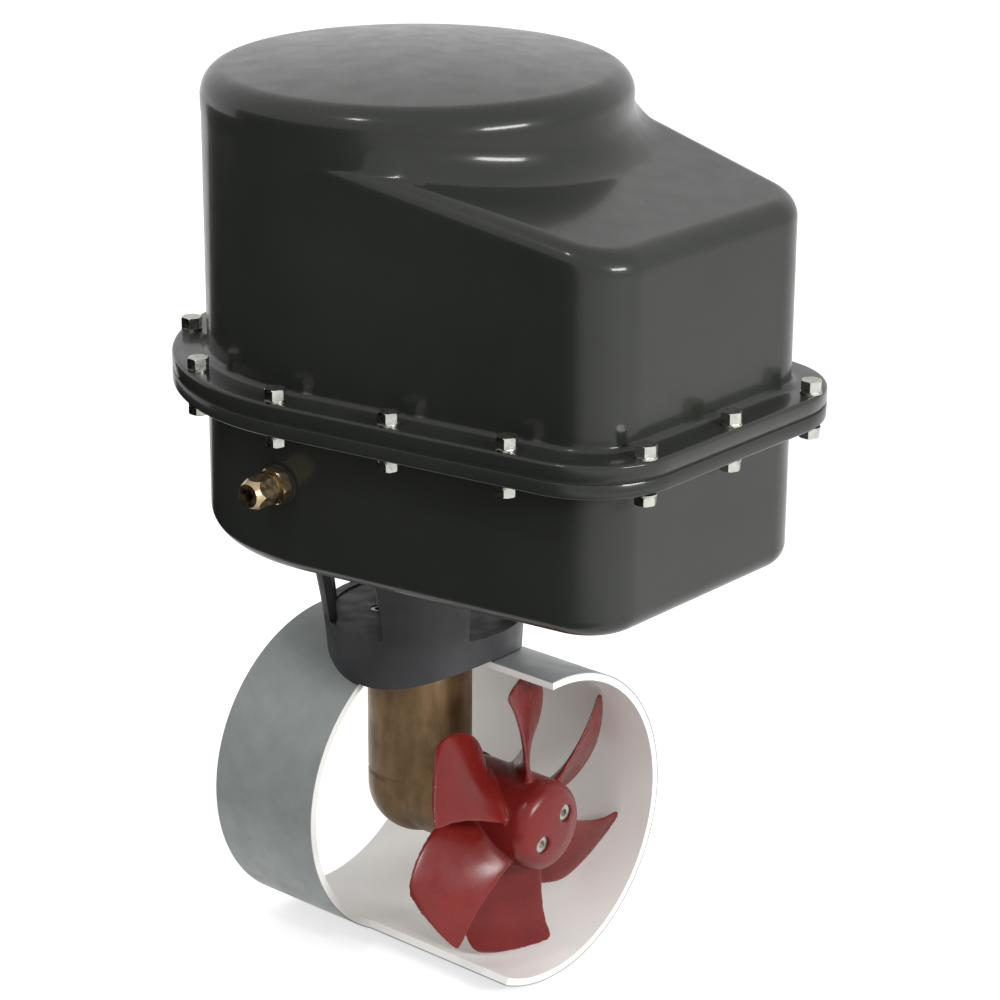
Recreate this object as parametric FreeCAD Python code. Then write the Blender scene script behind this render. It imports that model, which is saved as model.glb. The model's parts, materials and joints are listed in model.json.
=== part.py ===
"""Electric bow thruster for a round tunnel: motor housing, plinth, bronze leg and propeller.

Millimetres. The origin is where the motor's vertical axis meets the tunnel's axis.
+X runs along the tunnel towards the propeller and the housing's box end, +Z is up.
"""
import FreeCAD, Part
import math
import os

V = FreeCAD.Vector
X, Y, Z = V(1, 0, 0), V(0, 1, 0), V(0, 0, 1)
ORIGIN = V(0, 0, 0)

# ---- Clearances ------------------------------------------------------------------------
running = 0.03        # radial gap of a shaft that turns or slides in its seat
seat = 0.05           # radial gap of a fixed piece in its seat
air = 0.3             # gap between pieces of different bodies that never touch
bolt_gap = 0.3        # radial gap of a fastener in a through hole
break_through = 1.0   # how far a cutting tool runs past the face it opens

# ---- Tunnel ----------------------------------------------------------------------------
tunnel_bore = 185.0
tunnel_wall = 5.0
tunnel_rear = -80.0
tunnel_front = 110.0
cutaway_from = 0.0            # the near quarter of the wall is left out from this x on
cutaway_top_angle = 93.0      # measured from +Y towards +Z
cutaway_bottom_angle = 242.0

# ---- Housing: a round dome that runs into a tapered box end ------------------------------
housing_radius = 124.0
housing_end = 216.0
side_taper = 8.88             # degrees each side converges towards the box end
corner_radius = 34.0
housing_wall = 4.0
pan_edge_radius = 12.0
pan_depth = 98.0              # from the pan's underside to the middle of the flange gasket
gasket_thickness = 1.5
pan_bore_margin = 4.0         # round the motor's lower bearing
flange_width = 20.5
flange_thickness = 9.0
flange_lip_radius = 2.0
dome_height = 174.0           # from the flange gasket to the dome's flat edge
dome_crown = 9.0
dome_edge_radius = 13.0
slope_drop = 18.0             # how far the sloped roof lies under that edge, on the motor axis
slope_fall = 0.183             # fall of the sloped roof per millimetre of x
slope_edge_radius = 11.0
slope_start = -20.0

# ---- Flange fasteners --------------------------------------------------------------------
bolt_line = 13.2              # bolt line, outside the wall line
round_bolt_angles = (0.0, 31.4, 66.0)
side_bolt_count = 3
side_bolt_start = -4.6        # along a side, from where it leaves the round end
side_bolt_end = 53.2          # before the corner where the side meets the end
end_bolt_inset = 17.6         # from that corner to the outer bolt of the end
flange_bolt_radius = 3.0
flange_bolt_flats = 11.0
flange_head_height = 6.5
flange_nut_height = 5.0
flange_washer_radius = 6.2
flange_washer_thickness = 1.2
flange_bolt_length = 28.0

# ---- Cable glands ------------------------------------------------------------------------
gland_rise = 53.5             # above the pan's underside
gland_angle = -87.0
gland_bore = 4.0
gland_thread = 7.0
gland_flats = 19.0
gland_length = 27.0
battery_gland_rise = 49.5
battery_gland_x = (92.0, 140.0)
battery_gland_bore = 6.5
battery_gland_thread = 11.0
battery_gland_flats = 29.0
battery_gland_length = 38.0
gland_washer_thickness = 1.5
gland_hex_share = 0.24        # heights along a gland, as shares of its length outside the wall
gland_neck_share = 0.32
gland_crown_share = 0.2
gland_thread_run = 9.0        # how far the thread runs on inside the wall
gland_neck_ratio = 0.95       # of the thread's radius
gland_cap_gap = 2.5
gland_washer_ratio = 0.62     # of the flats
gland_nut_ratio = 0.25
gland_cap_ratio = 0.86
gland_nose_ratio = 0.36
gland_passage = 10.0          # half length of the hole cut for a gland

# ---- Plinth ------------------------------------------------------------------------------
plinth_top_radius = 71.0
plinth_waist_radius = 65.0     # of the bell, halfway up
plinth_waist_shift = 2.0
plinth_foot_x = 62.0          # half axes of the foot's oval
plinth_foot_y = 54.0
plinth_foot_shift = 4.0
plinth_foot_depth = 0.6       # height of the oval, as a share of the tunnel's outer radius
plinth_wall = 6.0
plinth_floor_rise = 6.5       # from the tunnel's crown to the underside of the plinth's floor
plinth_floor_thickness = 10.0
plinth_room = 51.5            # clear height round the coupling
plinth_flange_thickness = 8.0
plinth_flange_bore = 36.0
plinth_gasket = 1.0
saddle_gasket_thickness = 1.5
window_half_width = 23.0
window_sill_rise = 1.0        # above the plinth's floor
window_angles = (-90.0, 0.0, 90.0, 180.0)

# ---- Leg and gearcase --------------------------------------------------------------------
leg_gasket_thickness = 1.0
leg_skirt = 3.0               # how much further out the leg stands than the gearcase collar
leg_groove_height = 10.0
gearcase_wall = 6.0
gearcase_front_gap = 1.0      # from the leg's ball to the collar's face
gear_chamber_gap = 4.0        # from the crown gear's pitch circle to the gearcase bore
gearcase_bore_rear = -3.0     # how far the gear chamber runs behind the motor axis
pinion_chamber_radius = 16.0
bush_passage_radius = 12.0
bush_wall = 8.0               # left behind the rear bush
leg_groove_depth = 1.2
leg_groove_radius = 2.0
leg_groove_front = 11.6       # the groove stops at this x, short of the gearcase collar
cap_thickness = 7.0
cap_nose_length = 6.0
cap_nose_radius = 20.0
leg_screw_radius = 3.0
leg_screw_grip = 15.0
leg_screw_hole_depth = 18.0
leg_screw_sink = 0.5          # how far a head lies under the floor of the plinth
socket_head_share = 1.6       # a socket head's radius, as a share of its shank's
cap_screw_inset = 3.5         # from the gearcase collar's edge
cap_screw_radius = 1.5
cap_screw_head = 2.75
cap_screw_sink = 3.0
cap_screw_length = 11.0
seal_ring = 6.0               # radial height of a propeller shaft seal
seal_lip_gap = 2.5            # from the shaft to the inside of a seal's cup
seal_lip_width = 1.2
seal_floor = 2.0
spacer_wall = 3.0

# ---- Shafts and bearings -----------------------------------------------------------------
drive_shaft_radius = 7.5
drive_shaft_reach = 20.0      # how far the drive shaft stands above the plinth's floor
shaft_bearing_radius = 17.5
shaft_bearing_width = 11.0
pinion_back_length = 8.0      # from the crown gear's pitch circle to the lower bearing
crown_back_length = 9.6       # from the pinion's pitch circle to the propeller shaft's bearing
upper_bearing_depth = 25.0    # below the leg's top
shaft_seal_width = 7.0
propeller_shaft_radius = 8.5
propeller_bearing_width = 10.0
bush_shaft_radius = 6.0
bush_radius = 9.0
bush_length = 10.0
drive_flange_gap = 16.0       # from the cap's nose to the drive flange
drive_flange_thickness = 8.0
drive_flange_radius = 18.0
pinion_bore = 5.0
gear_seat_x = 6.5             # where the propeller shaft steps up to carry the crown gear
gear_back_gap = 0.3           # between a gear's back and its bearing

# ---- Bevel gears -------------------------------------------------------------------------
pinion_teeth = 12
crown_teeth = 20
crown_pitch_radius = 19.0
gear_face_width = 7.0
tooth_share = 0.42            # tooth width at the pitch line, as a share of the pitch
addendum_share = 0.75         # of the module
dedendum_share = 1.1

# ---- Propeller ---------------------------------------------------------------------------
blade_count = 6
tip_clearance = 2.5
hub_radius = 28.0
hub_rear_gap = 2.0            # from the cap's face
hub_length = 67.5
hub_edge_radius = 9.0
blade_turn = 135.0            # angle of the first blade's root, from +Y towards +Z
lead_root_angle = -29.0       # blade edges, from the blade's own root direction
lead_tip_angle = -3.0
trail_root_angle = 28.0
trail_tip_angle = 30.0
lead_bow = 26.0
trail_bow = 14.0
lead_root_place = 17.0        # blade edges along the hub, from its rear face
lead_tip_place = 31.0
trail_root_place = 51.0
trail_tip_place = 47.0
blade_root_thickness = 5.0
blade_tip_thickness = 2.4
blade_stations = 5
section_steps = 6
section_edge = 0.15           # a blade's half thickness at its edges, as a share of its thickness
section_swell = 0.35          # what its middle adds
root_sink = 6.0               # how far a blade's form starts below the hub's surface
tip_overrun = 3.0
hub_screw_circle = 12.2
hub_screw_turn = 34.0
hub_screw_radius = 3.0
hub_screw_head = 5.0
hub_screw_sink = 6.5
hub_screw_head_height = 4.0
hub_pocket_gap = 2.5

# ---- Coupling ----------------------------------------------------------------------------
coupling_radius = 26.0
coupling_hub_height = 17.0
coupling_jaw_height = 9.0
coupling_lift = 3.0           # above the plinth's floor
coupling_jaws = 3
spider_radius = 9.0
coupling_jaw_width = 40.0     # degrees
spider_arm_width = 19.0       # degrees

# ---- Motor -------------------------------------------------------------------------------
motor_radius = 72.0
motor_can_wall = 5.0
motor_plate_thickness = 14.0
motor_can_length = 176.0
motor_shaft_radius = 10.0
motor_bearing_radius = 21.0
motor_bearing_width = 12.0
motor_screw_circle = 48.0
motor_screw_radius = 4.0
motor_screw_end_gap = 4.0
magnet_thickness = 13.0
magnet_length = 112.0
magnet_lift = 20.0            # above the lower plate
magnet_angle = 62.0
magnet_count = 4
rotor_gap = 1.5
armature_slots = 18
slot_depth = 14.0
slot_width = 5.0
winding_overhang = 16.0
winding_gap = 0.2
winding_ring_depth = 12.0     # from the slots' floors in to the end windings' inner edge
winding_ring_slope = 6.0
winding_sink = 2.0            # how far the windings lie below the armature's face
commutator_radius = 25.0
commutator_length = 24.0
commutator_slits = 24
slit_width = 0.8
slit_depth = 4.0
commutator_standoff = 3.0
brush_count = 4
brush_width = 12.0
brush_length = 22.0
brush_ring_thickness = 3.0
brush_ring_drop = 1.5
brush_lift = 1.5              # from the ring's face to the brush
brush_standoff = 4.5          # from the commutator to a brush holder
holder_wall = 1.5
through_bolt_inset = 10.0
through_bolt_radius = 2.5
through_bolt_floor = 5.0      # from the pan's floor to a bolt's end
through_bolt_flats = 8.0
through_bolt_head = 4.0
terminal_radius = 4.0
terminal_height = 17.0
terminal_x = 44.0
terminal_nut_flats = 13.0
terminal_nut_height = 6.0

# ---- Contactors --------------------------------------------------------------------------
bracket_thickness = 3.0
bracket_standoff = 5.0
bracket_half_width = 60.0
bracket_lift = 38.0           # above the motor's lower plate
bracket_height = 100.0
contactor_radius = 25.0
contactor_wall = 3.0
contactor_spread = 31.0
contactor_gap = 5.0
contactor_lift = 6.0          # above the bracket's lower edge
contactor_height = 62.0
contactor_cap_height = 22.0
contactor_stud_spread = 13.0
coil_clearance = 1.0
plunger_radius = 7.0
plunger_travel = 3.0
bar_width = 14.0
bar_thickness = 3.0
bar_overhang = 8.0            # how far a bus bar runs past its stud
bar_riser_gap = 10.0          # from the motor's can to a bar's riser
pad_radius = 7.0
pad_spread = 20.0
pad_inset = 14.0
foot_half_width = 10.0
foot_low = 6.0
foot_high = 10.0
chamber_wall = 6.0
cap_roof = 4.0
coil_top_gap = 3.0
disc_lift = 1.0
disc_thickness = 3.0
disc_gap = 1.5

# ---- Values worked out from the driving dimensions -----------------------------------------
tunnel_inner = tunnel_bore / 2
tunnel_outer = tunnel_inner + tunnel_wall
saddle_radius = tunnel_outer + saddle_gasket_thickness
plinth_floor = tunnel_outer + plinth_floor_rise
floor_top = plinth_floor + plinth_floor_thickness
window_sill = floor_top + window_sill_rise
plinth_flange_base = floor_top + plinth_room
plinth_top = plinth_flange_base + plinth_flange_thickness
plinth_waist_height = (floor_top + plinth_top) / 2
pan_bottom = plinth_top + plinth_gasket
pan_floor = pan_bottom + housing_wall
gland_height = pan_bottom + gland_rise
battery_gland_height = pan_bottom + battery_gland_rise
seam = pan_bottom + pan_depth
flange_top = seam + gasket_thickness / 2 + flange_thickness
flange_bottom = seam - gasket_thickness / 2 - flange_thickness
dome_edge = seam + dome_height
slope_height = dome_edge - slope_drop

pinion_pitch_radius = crown_pitch_radius * pinion_teeth / crown_teeth
gear_module = 2 * crown_pitch_radius / crown_teeth
cone_distance = math.hypot(crown_pitch_radius, pinion_pitch_radius)
gear_inner = cone_distance - gear_face_width
lower_bearing_base = crown_pitch_radius + pinion_back_length
propeller_bearing_x = pinion_pitch_radius + crown_back_length
gearcase_bore = crown_pitch_radius + gear_chamber_gap
gearcase_radius = gearcase_bore + gearcase_wall
leg_radius = gearcase_radius + leg_skirt
gearcase_front = leg_radius + gearcase_front_gap
cap_face = gearcase_front + cap_thickness
cap_nose = cap_face + cap_nose_length
leg_top = plinth_floor - leg_gasket_thickness
leg_screw_circle = (shaft_bearing_radius + leg_radius) / 2
leg_screw_head = socket_head_share * leg_screw_radius
leg_screw_seat = floor_top - 2 * leg_screw_radius - leg_screw_sink
cap_screw_circle = gearcase_radius - cap_screw_inset
cap_screw_seat = cap_face - cap_screw_sink
upper_bearing_base = leg_top - upper_bearing_depth
drive_shaft_top = floor_top + drive_shaft_reach
drive_shaft_foot = gear_inner * crown_pitch_radius / cone_distance + 0.5
bush_rear = bush_wall - leg_radius
seal_radius = propeller_shaft_radius + seal_ring

propeller_radius = tunnel_inner - tip_clearance
hub_rear = cap_face + hub_rear_gap
hub_front = hub_rear + hub_length
hub_screw_recess = hub_front - hub_screw_sink
drive_flange_x = cap_nose + drive_flange_gap
drive_flange_end = drive_flange_x + drive_flange_thickness

coupling_base = floor_top + coupling_lift
coupling_top = coupling_base + 2 * coupling_hub_height + coupling_jaw_height
can_base = pan_floor + motor_plate_thickness
can_top = can_base + motor_can_length
motor_top = can_top + motor_plate_thickness
through_bolt_circle = motor_radius - through_bolt_inset
magnet_base = can_base + magnet_lift
magnet_inner = motor_radius - motor_can_wall - magnet_thickness
armature_radius = magnet_inner - rotor_gap
commutator_base = magnet_base + magnet_length + winding_overhang + commutator_standoff
bracket_x = motor_radius + bracket_standoff
bracket_base = can_base + bracket_lift
contactor_x = bracket_x + bracket_thickness + contactor_gap + contactor_radius
contactor_base = bracket_base + contactor_lift
contactor_top = contactor_base + contactor_height
stud_base = contactor_top + contactor_cap_height


# ---- Shared shapes -----------------------------------------------------------------------
def save(node, shape):
    """Write one node's solids to its own STEP file."""
    shape.exportStep("parts/%s.step" % node)


def rod(radius, start, end):
    """A round bar between two points."""
    axis = end - start
    return Part.makeCylinder(radius, axis.Length, start, axis)


def tube(outer, inner, start, end):
    """A round tube between two points."""
    return rod(outer, start, end).cut(rod(inner, start, end))


def upright(radius, low, high, x=0.0, y=0.0):
    """A vertical bar."""
    return rod(radius, V(x, y, low), V(x, y, high))


def level(radius, rear, front, y=0.0, z=0.0):
    """A bar along X."""
    return rod(radius, V(rear, y, z), V(front, y, z))


def block(low, high):
    """A box between two corners."""
    size = high - low
    return Part.makeBox(size.x, size.y, size.z, low)


def aim(shape, place, direction):
    """Move a shape built on +Z at the origin so that it points along direction from place."""
    moved = shape.copy()
    moved.Placement = FreeCAD.Placement(place, FreeCAD.Rotation(Z, direction)).multiply(moved.Placement)
    return moved


def turned(shape, angle, axis=Z):
    """A copy of a shape, turned about an axis through the origin."""
    moved = shape.copy()
    moved.rotate(ORIGIN, axis, angle)
    return moved


def hexagon(flats, low, high):
    """A hexagonal bar along Z with lightly chamfered corners."""
    corner = flats / math.sqrt(3)
    points = [V(corner * math.cos(math.radians(60 * i)), corner * math.sin(math.radians(60 * i)), low)
              for i in range(7)]
    bar = Part.Face(Part.makePolygon(points)).extrude(V(0, 0, high - low))
    chamfer = 0.6 * (corner - flats / 2)
    dome = spun([(0, low), (corner - chamfer, low), (corner, low + chamfer),
                 (corner, high - chamfer), (corner - chamfer, high), (0, high)])
    return bar.common(dome)


def spun(profile, axis=Z):
    """A solid turned from (radius, height) points about Z, or about X where axis is X."""
    points = [V(r, 0, h) for r, h in profile]
    points.append(points[0])
    solid = Part.Face(Part.makePolygon(points)).revolve(ORIGIN, Z, 360)
    if axis is X:
        solid.rotate(ORIGIN, Y, 90)
    return solid


def fused(shapes):
    """One solid from shapes that meet."""
    whole = shapes[0].multiFuse(shapes[1:])
    return whole.removeSplitter()


def around(count, shape, axis=Z, start=0.0):
    """Copies of a shape at even angles about an axis."""
    return [turned(shape, start + 360.0 * i / count, axis) for i in range(count)]


def polar(radius, angle, z=0.0):
    """A point at a plan radius and angle in degrees."""
    return V(radius * math.cos(math.radians(angle)), radius * math.sin(math.radians(angle)), z)


def bearing(bore, outer, start, end):
    """Both races of a ball bearing and its balls, as separate solids."""
    axis = end - start
    width = axis.Length
    direction = V(axis).normalize()
    race = (outer - bore) * 0.28
    middle = (outer + bore) / 2
    ball = min((outer - bore) / 2 - race + width * 0.12, width * 0.36)
    groove = Part.makeTorus(middle, ball + seat, V(0, 0, width / 2), Z)
    inner_race = tube(bore + race, bore, ORIGIN, V(0, 0, width)).cut(groove)
    outer_race = tube(outer, outer - race, ORIGIN, V(0, 0, width)).cut(groove)
    balls = around(8, Part.makeSphere(ball, V(middle, 0, width / 2)))
    return [aim(piece, start, direction) for piece in [inner_race, outer_race] + balls]


# ---- Housing -----------------------------------------------------------------------------
def side_point(offset, along, side):
    """A point on a tapered side's line, counted from where it leaves the round end."""
    t = math.radians(side_taper)
    r = housing_radius + offset
    return V(r * math.sin(t) + along * math.cos(t), side * (r * math.cos(t) - along * math.sin(t)), 0)


def side_length(offset):
    """Length of a tapered side's line, from the round end to where it would meet the flat end."""
    t = math.radians(side_taper)
    return (housing_end + offset - (housing_radius + offset) * math.sin(t)) / math.cos(t)


def outline(offset):
    """The housing's plan as a closed wire, moved outward from the wall line by offset."""
    r = housing_radius + offset
    end = housing_end + offset
    corner = corner_radius + offset
    inset = corner * math.tan(math.radians(90 - side_taper) / 2)
    reach = side_length(offset)
    leave = {}
    for side in (-1, 1):
        tip = side_point(offset, reach, side)
        first = side_point(offset, reach - inset, side)
        last = V(end, tip.y - side * inset, 0)
        centre = V(end - corner, last.y, 0)
        middle = centre + (tip - centre).normalize() * corner
        leave[side] = (side_point(offset, 0, side), first, middle, last)
    near, far = leave[-1], leave[1]
    edges = [Part.Arc(far[0], V(-r, 0, 0), near[0]).toShape(),
             Part.makeLine(near[0], near[1]),
             Part.Arc(near[1], near[2], near[3]).toShape(),
             Part.makeLine(near[3], far[3]),
             Part.Arc(far[3], far[2], far[1]).toShape(),
             Part.makeLine(far[1], far[0])]
    return Part.Wire(edges)


def slab(offset, low, high):
    """The housing's plan as a solid between two heights."""
    face = Part.Face(outline(offset))
    face.translate(V(0, 0, low))
    return face.extrude(V(0, 0, high - low))


def edges_at(shape, test):
    """The edges whose every vertex passes a test."""
    return [edge for edge in shape.Edges if all(test(vertex.Point) for vertex in edge.Vertexes)]


def roof_height(x, drop):
    """Height of the sloped roof at x, lowered by drop."""
    return slope_height - slope_fall * x - drop


def cover_form(offset, low, drop):
    """The cover's form: dome and sloped box end, with its roof lowered by drop."""
    radius = housing_radius + offset
    round_edge = dome_edge_radius + min(offset, 0)
    rim = dome_edge - drop
    flat = radius - round_edge
    bulge = math.sqrt(0.5)
    ball = (flat ** 2 + dome_crown ** 2) / (2 * dome_crown)
    crown_top = V(0, 0, rim + dome_crown)
    crown_mid = V(flat / 2, 0, crown_top.z - ball + math.sqrt(ball ** 2 - flat ** 2 / 4))
    profile = Part.Wire([
        Part.makeLine(V(0, 0, low), V(radius, 0, low)),
        Part.makeLine(V(radius, 0, low), V(radius, 0, rim - round_edge)),
        Part.Arc(V(radius, 0, rim - round_edge),
                 V(flat + round_edge * bulge, 0, rim - round_edge + round_edge * bulge),
                 V(flat, 0, rim)).toShape(),
        Part.Arc(V(flat, 0, rim), crown_mid, crown_top).toShape(),
        Part.makeLine(crown_top, V(0, 0, low))])
    dome = Part.Face(profile).revolve(ORIGIN, Z, 360)
    ends = (slope_start, housing_end + 2 * flange_width)
    section = [V(ends[0], 0, low), V(ends[1], 0, low),
               V(ends[1], 0, roof_height(ends[1], drop)), V(ends[0], 0, roof_height(ends[0], drop)),
               V(ends[0], 0, low)]
    wedge = Part.Face(Part.makePolygon(section)).extrude(V(0, 4 * housing_radius, 0))
    wedge.translate(V(0, -2 * housing_radius, 0))
    box_end = slab(offset, low, dome_edge).common(wedge)
    roof_edges = [edge for edge in edges_at(box_end, lambda p: abs(p.z - roof_height(p.x, drop)) < 0.01)
                  if edge.BoundBox.XMax > slope_start + 1]
    box_end = box_end.makeFillet(slope_edge_radius + min(offset, 0), roof_edges)
    return dome.fuse(box_end).removeSplitter()


def bolt_points():
    """Plan positions of the flange bolts."""
    points = []
    for angle in round_bolt_angles:
        for side in ((1,) if angle == 0 else (-1, 1)):
            points.append(polar(housing_radius + bolt_line, 180 + side * angle))
    pitch = (side_length(0) - side_bolt_end - side_bolt_start) / (side_bolt_count - 1)
    corner = side_point(0, side_length(0), 1)
    for side in (-1, 1):
        for i in range(side_bolt_count):
            points.append(side_point(bolt_line, side_bolt_start + i * pitch, side))
    for i in (-1, 0, 1):
        points.append(V(housing_end + bolt_line, i * (corner.y - end_bolt_inset), 0))
    return points


def at_bolts(shape):
    """A copy of a shape at each flange bolt."""
    copies = []
    for point in bolt_points():
        copy = shape.copy()
        copy.translate(point)
        copies.append(copy)
    return copies


def drilled(shape):
    """A flange part with its bolt holes."""
    low = flange_bottom - 1
    hole = upright(flange_bolt_radius + bolt_gap, low, flange_top + 1)
    return shape.cut(Part.makeCompound(at_bolts(hole)))


def flange(low, high, lip):
    """One flange plate with its outer edge rounded where it faces away from the seam."""
    plate = slab(flange_width, low, high)
    return plate.makeFillet(flange_lip_radius, edges_at(plate, lambda p: abs(p.z - lip) < 0.01))


def housing_cover():
    low = flange_top - flange_thickness
    body = cover_form(0, low, 0).fuse(flange(low, flange_top, flange_top))
    return drilled(body.cut(cover_form(-housing_wall, low, housing_wall)))


def gland_axis(angle):
    """Start point on the pan's wall and outward direction of the round side's gland."""
    return polar(housing_radius, angle, gland_height), polar(1, angle)


def battery_gland_axes():
    """Start points and outward directions of the battery lead glands on the far side."""
    t = math.radians(side_taper)
    outward = V(math.sin(t), math.cos(t), 0)
    places = []
    for x in battery_gland_x:
        point = side_point(0, (x - housing_radius * math.sin(t)) / math.cos(t), 1)
        places.append((V(point.x, point.y, battery_gland_height), outward))
    return places


def housing_pan():
    top = seam - gasket_thickness / 2
    body = slab(0, pan_bottom, top)
    body = body.makeFillet(pan_edge_radius, edges_at(body, lambda p: abs(p.z - pan_bottom) < 0.01))
    hollow = slab(-housing_wall, pan_floor, top)
    inner_edge = pan_edge_radius - housing_wall
    hollow = hollow.makeFillet(inner_edge, edges_at(hollow, lambda p: abs(p.z - pan_floor) < 0.01))
    body = body.fuse(flange(flange_bottom, top, flange_bottom)).cut(hollow)
    holes = [upright(motor_bearing_radius + pan_bore_margin, pan_bottom - 1, pan_floor + 1)]
    holes += motor_screw_holes(pan_bottom - 1, pan_floor + 1, motor_screw_radius + bolt_gap)
    start, outward = gland_axis(gland_angle)
    holes.append(rod(gland_thread + seat, start - outward * gland_passage,
                     start + outward * gland_passage))
    for start, outward in battery_gland_axes():
        holes.append(rod(battery_gland_thread + seat, start - outward * gland_passage,
                         start + outward * gland_passage))
    return drilled(body.cut(Part.makeCompound(holes)))


def flange_gasket():
    low, high = seam - gasket_thickness / 2, seam + gasket_thickness / 2
    return drilled(slab(flange_width - 1, low, high).cut(slab(-housing_wall, low, high)))


def flange_fasteners():
    upper = flange_top + flange_washer_thickness
    lower = flange_bottom - flange_washer_thickness
    shank = upright(flange_bolt_radius, upper - flange_bolt_length, upper)
    bolt = hexagon(flange_bolt_flats, upper, upper + flange_head_height).fuse(shank)
    hole = flange_bolt_radius + running
    nut = hexagon(flange_bolt_flats, lower - flange_nut_height, lower)
    nut = nut.cut(upright(hole, lower - flange_nut_height, lower))
    washer_bore = flange_bolt_radius + bolt_gap
    washers = [tube(flange_washer_radius, washer_bore, V(0, 0, base), V(0, 0, base + flange_washer_thickness))
               for base in (flange_top, lower)]
    save("flange_bolts", Part.makeCompound(at_bolts(bolt)))
    save("flange_nuts", Part.makeCompound(at_bolts(nut)))
    save("flange_washers", Part.makeCompound(at_bolts(washers[0]) + at_bolts(washers[1])))


# ---- Cable glands --------------------------------------------------------------------------
def gland_pieces(bore, thread, flats, length):
    """Body, cap nut, sealing washer and locknut of a gland on +Z, with the wall's face at z=0."""
    shoulder = gland_washer_thickness + gland_hex_share * length
    neck_end = shoulder + gland_neck_share * length
    inside = -housing_wall - gland_thread_run
    neck = thread * gland_neck_ratio
    washer = tube(flats * gland_washer_ratio, thread + seat, V(0, 0, -gland_washer_thickness),
                  V(0, 0, gland_washer_thickness))
    body = fused([upright(thread, inside, gland_washer_thickness),
                  hexagon(flats, gland_washer_thickness, shoulder),
                  upright(neck, shoulder, neck_end)])
    body = body.cut(upright(bore, inside, neck_end))
    cap_base = shoulder + gland_cap_gap
    form = spun([(0, cap_base), (flats / 2, cap_base), (flats / 2, length * (1 - gland_crown_share)),
                 (flats * gland_nose_ratio, length), (0, length)])
    cap = hexagon(flats * gland_cap_ratio, cap_base, length).common(form)
    cap = cap.cut(upright(neck + running, cap_base, neck_end + 1))
    cap = cap.cut(upright(bore, neck_end, length))
    nut_base = -housing_wall - gland_nut_ratio * flats
    nut = hexagon(flats, nut_base, 0).cut(upright(thread + running, nut_base, 0))
    return body, cap, washer, nut


def save_glands(names, pieces, places, height):
    """Place a gland's pieces and trim its washer and locknut to the wall's faces."""
    outside = slab(0, height - gland_passage * 2, height + gland_passage * 2)
    inside = slab(-housing_wall - seat, height - gland_passage * 2, height + gland_passage * 2)
    for name, piece in zip(names, pieces):
        placed = Part.makeCompound([aim(piece, start, outward) for start, outward in places])
        if piece is pieces[2]:
            placed = placed.cut(outside)
        if piece is pieces[3]:
            placed = placed.common(inside)
        save(name, placed)


def glands():
    """The control cable's gland on the round side and the two battery lead glands."""
    save_glands(("gland_body", "gland_cap", "gland_washer", "gland_locknut"),
                gland_pieces(gland_bore, gland_thread, gland_flats, gland_length),
                [gland_axis(gland_angle)], gland_height)
    save_glands(("battery_gland_bodies", "battery_gland_caps", "battery_gland_washers",
                 "battery_gland_locknuts"),
                gland_pieces(battery_gland_bore, battery_gland_thread, battery_gland_flats,
                             battery_gland_length),
                battery_gland_axes(), battery_gland_height)


# ---- Plinth and tunnel ---------------------------------------------------------------------
def plinth_form(inset):
    """The plinth's bell: an oval foot that runs up through a waist into a round top."""
    low = plinth_foot_depth * tunnel_outer
    centre = V(plinth_foot_shift, 0, low)
    half_x, half_y = plinth_foot_x - inset, plinth_foot_y - inset
    foot = Part.Ellipse(centre + X * half_x, centre + Y * half_y, centre).toShape()
    waist = Part.Circle(V(plinth_waist_shift, 0, plinth_waist_height), Z,
                        plinth_waist_radius - inset).toShape()
    top = Part.Circle(V(0, 0, plinth_top), Z, plinth_top_radius - inset).toShape()
    return Part.makeLoft([Part.Wire(foot), Part.Wire(waist), Part.Wire(top)], True, False)


def circle_points(count, radius, start):
    """Plan positions on a circle about the motor axis."""
    return [polar(radius, start + 360.0 * i / count) for i in range(count)]


def leg_screw_holes(low, high, radius):
    return [upright(radius, low, high, p.x, p.y) for p in circle_points(4, leg_screw_circle, 45)]


def motor_screw_holes(low, high, radius):
    return [upright(radius, low, high, p.x, p.y) for p in circle_points(4, motor_screw_circle, 0)]


def cut_all(shape, tools):
    """Cut a list of tools from a shape."""
    return shape.cut(Part.makeCompound(tools))


def plinth():
    body = plinth_form(0).cut(level(saddle_radius, -2 * saddle_radius, 2 * saddle_radius))
    reach = 2 * plinth_top_radius
    room = block(V(-reach, -reach, floor_top), V(reach, reach, plinth_flange_base))
    tools = [plinth_form(plinth_wall).common(room),
             upright(leg_radius + seat, 0, plinth_floor),
             upright(shaft_bearing_radius - 2, plinth_floor - 1, floor_top + 1),
             upright(plinth_flange_bore, plinth_flange_base - 1, plinth_top + 1)]
    tools += leg_screw_holes(plinth_floor - 1, floor_top + 1, leg_screw_radius + bolt_gap)
    tools += leg_screw_holes(leg_screw_seat, floor_top + break_through, leg_screw_head + bolt_gap)
    tools += motor_screw_holes(plinth_flange_base - 1, plinth_top + 1, motor_screw_radius + bolt_gap)
    window = block(V(0, -window_half_width, window_sill), V(reach, window_half_width, plinth_flange_base))
    tools += [turned(window, angle) for angle in window_angles]
    return cut_all(body, tools)


def pan_gasket():
    ring = tube(plinth_top_radius - 1, plinth_flange_bore, V(0, 0, plinth_top), V(0, 0, pan_bottom))
    return cut_all(ring, motor_screw_holes(plinth_top - 1, pan_bottom + 1, motor_screw_radius + bolt_gap))


def cutaway():
    """The near quarter that the shown section of tunnel leaves out."""
    reach = 2 * tunnel_outer
    sweep = cutaway_bottom_angle - cutaway_top_angle
    wedge = Part.makeCylinder(reach, reach, ORIGIN, Z, sweep)
    wedge.rotate(ORIGIN, Z, cutaway_top_angle)
    wedge.rotate(ORIGIN, Y, 90)
    wedge.rotate(ORIGIN, X, 90)
    wedge.translate(V(cutaway_from, 0, 0))
    return wedge


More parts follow.
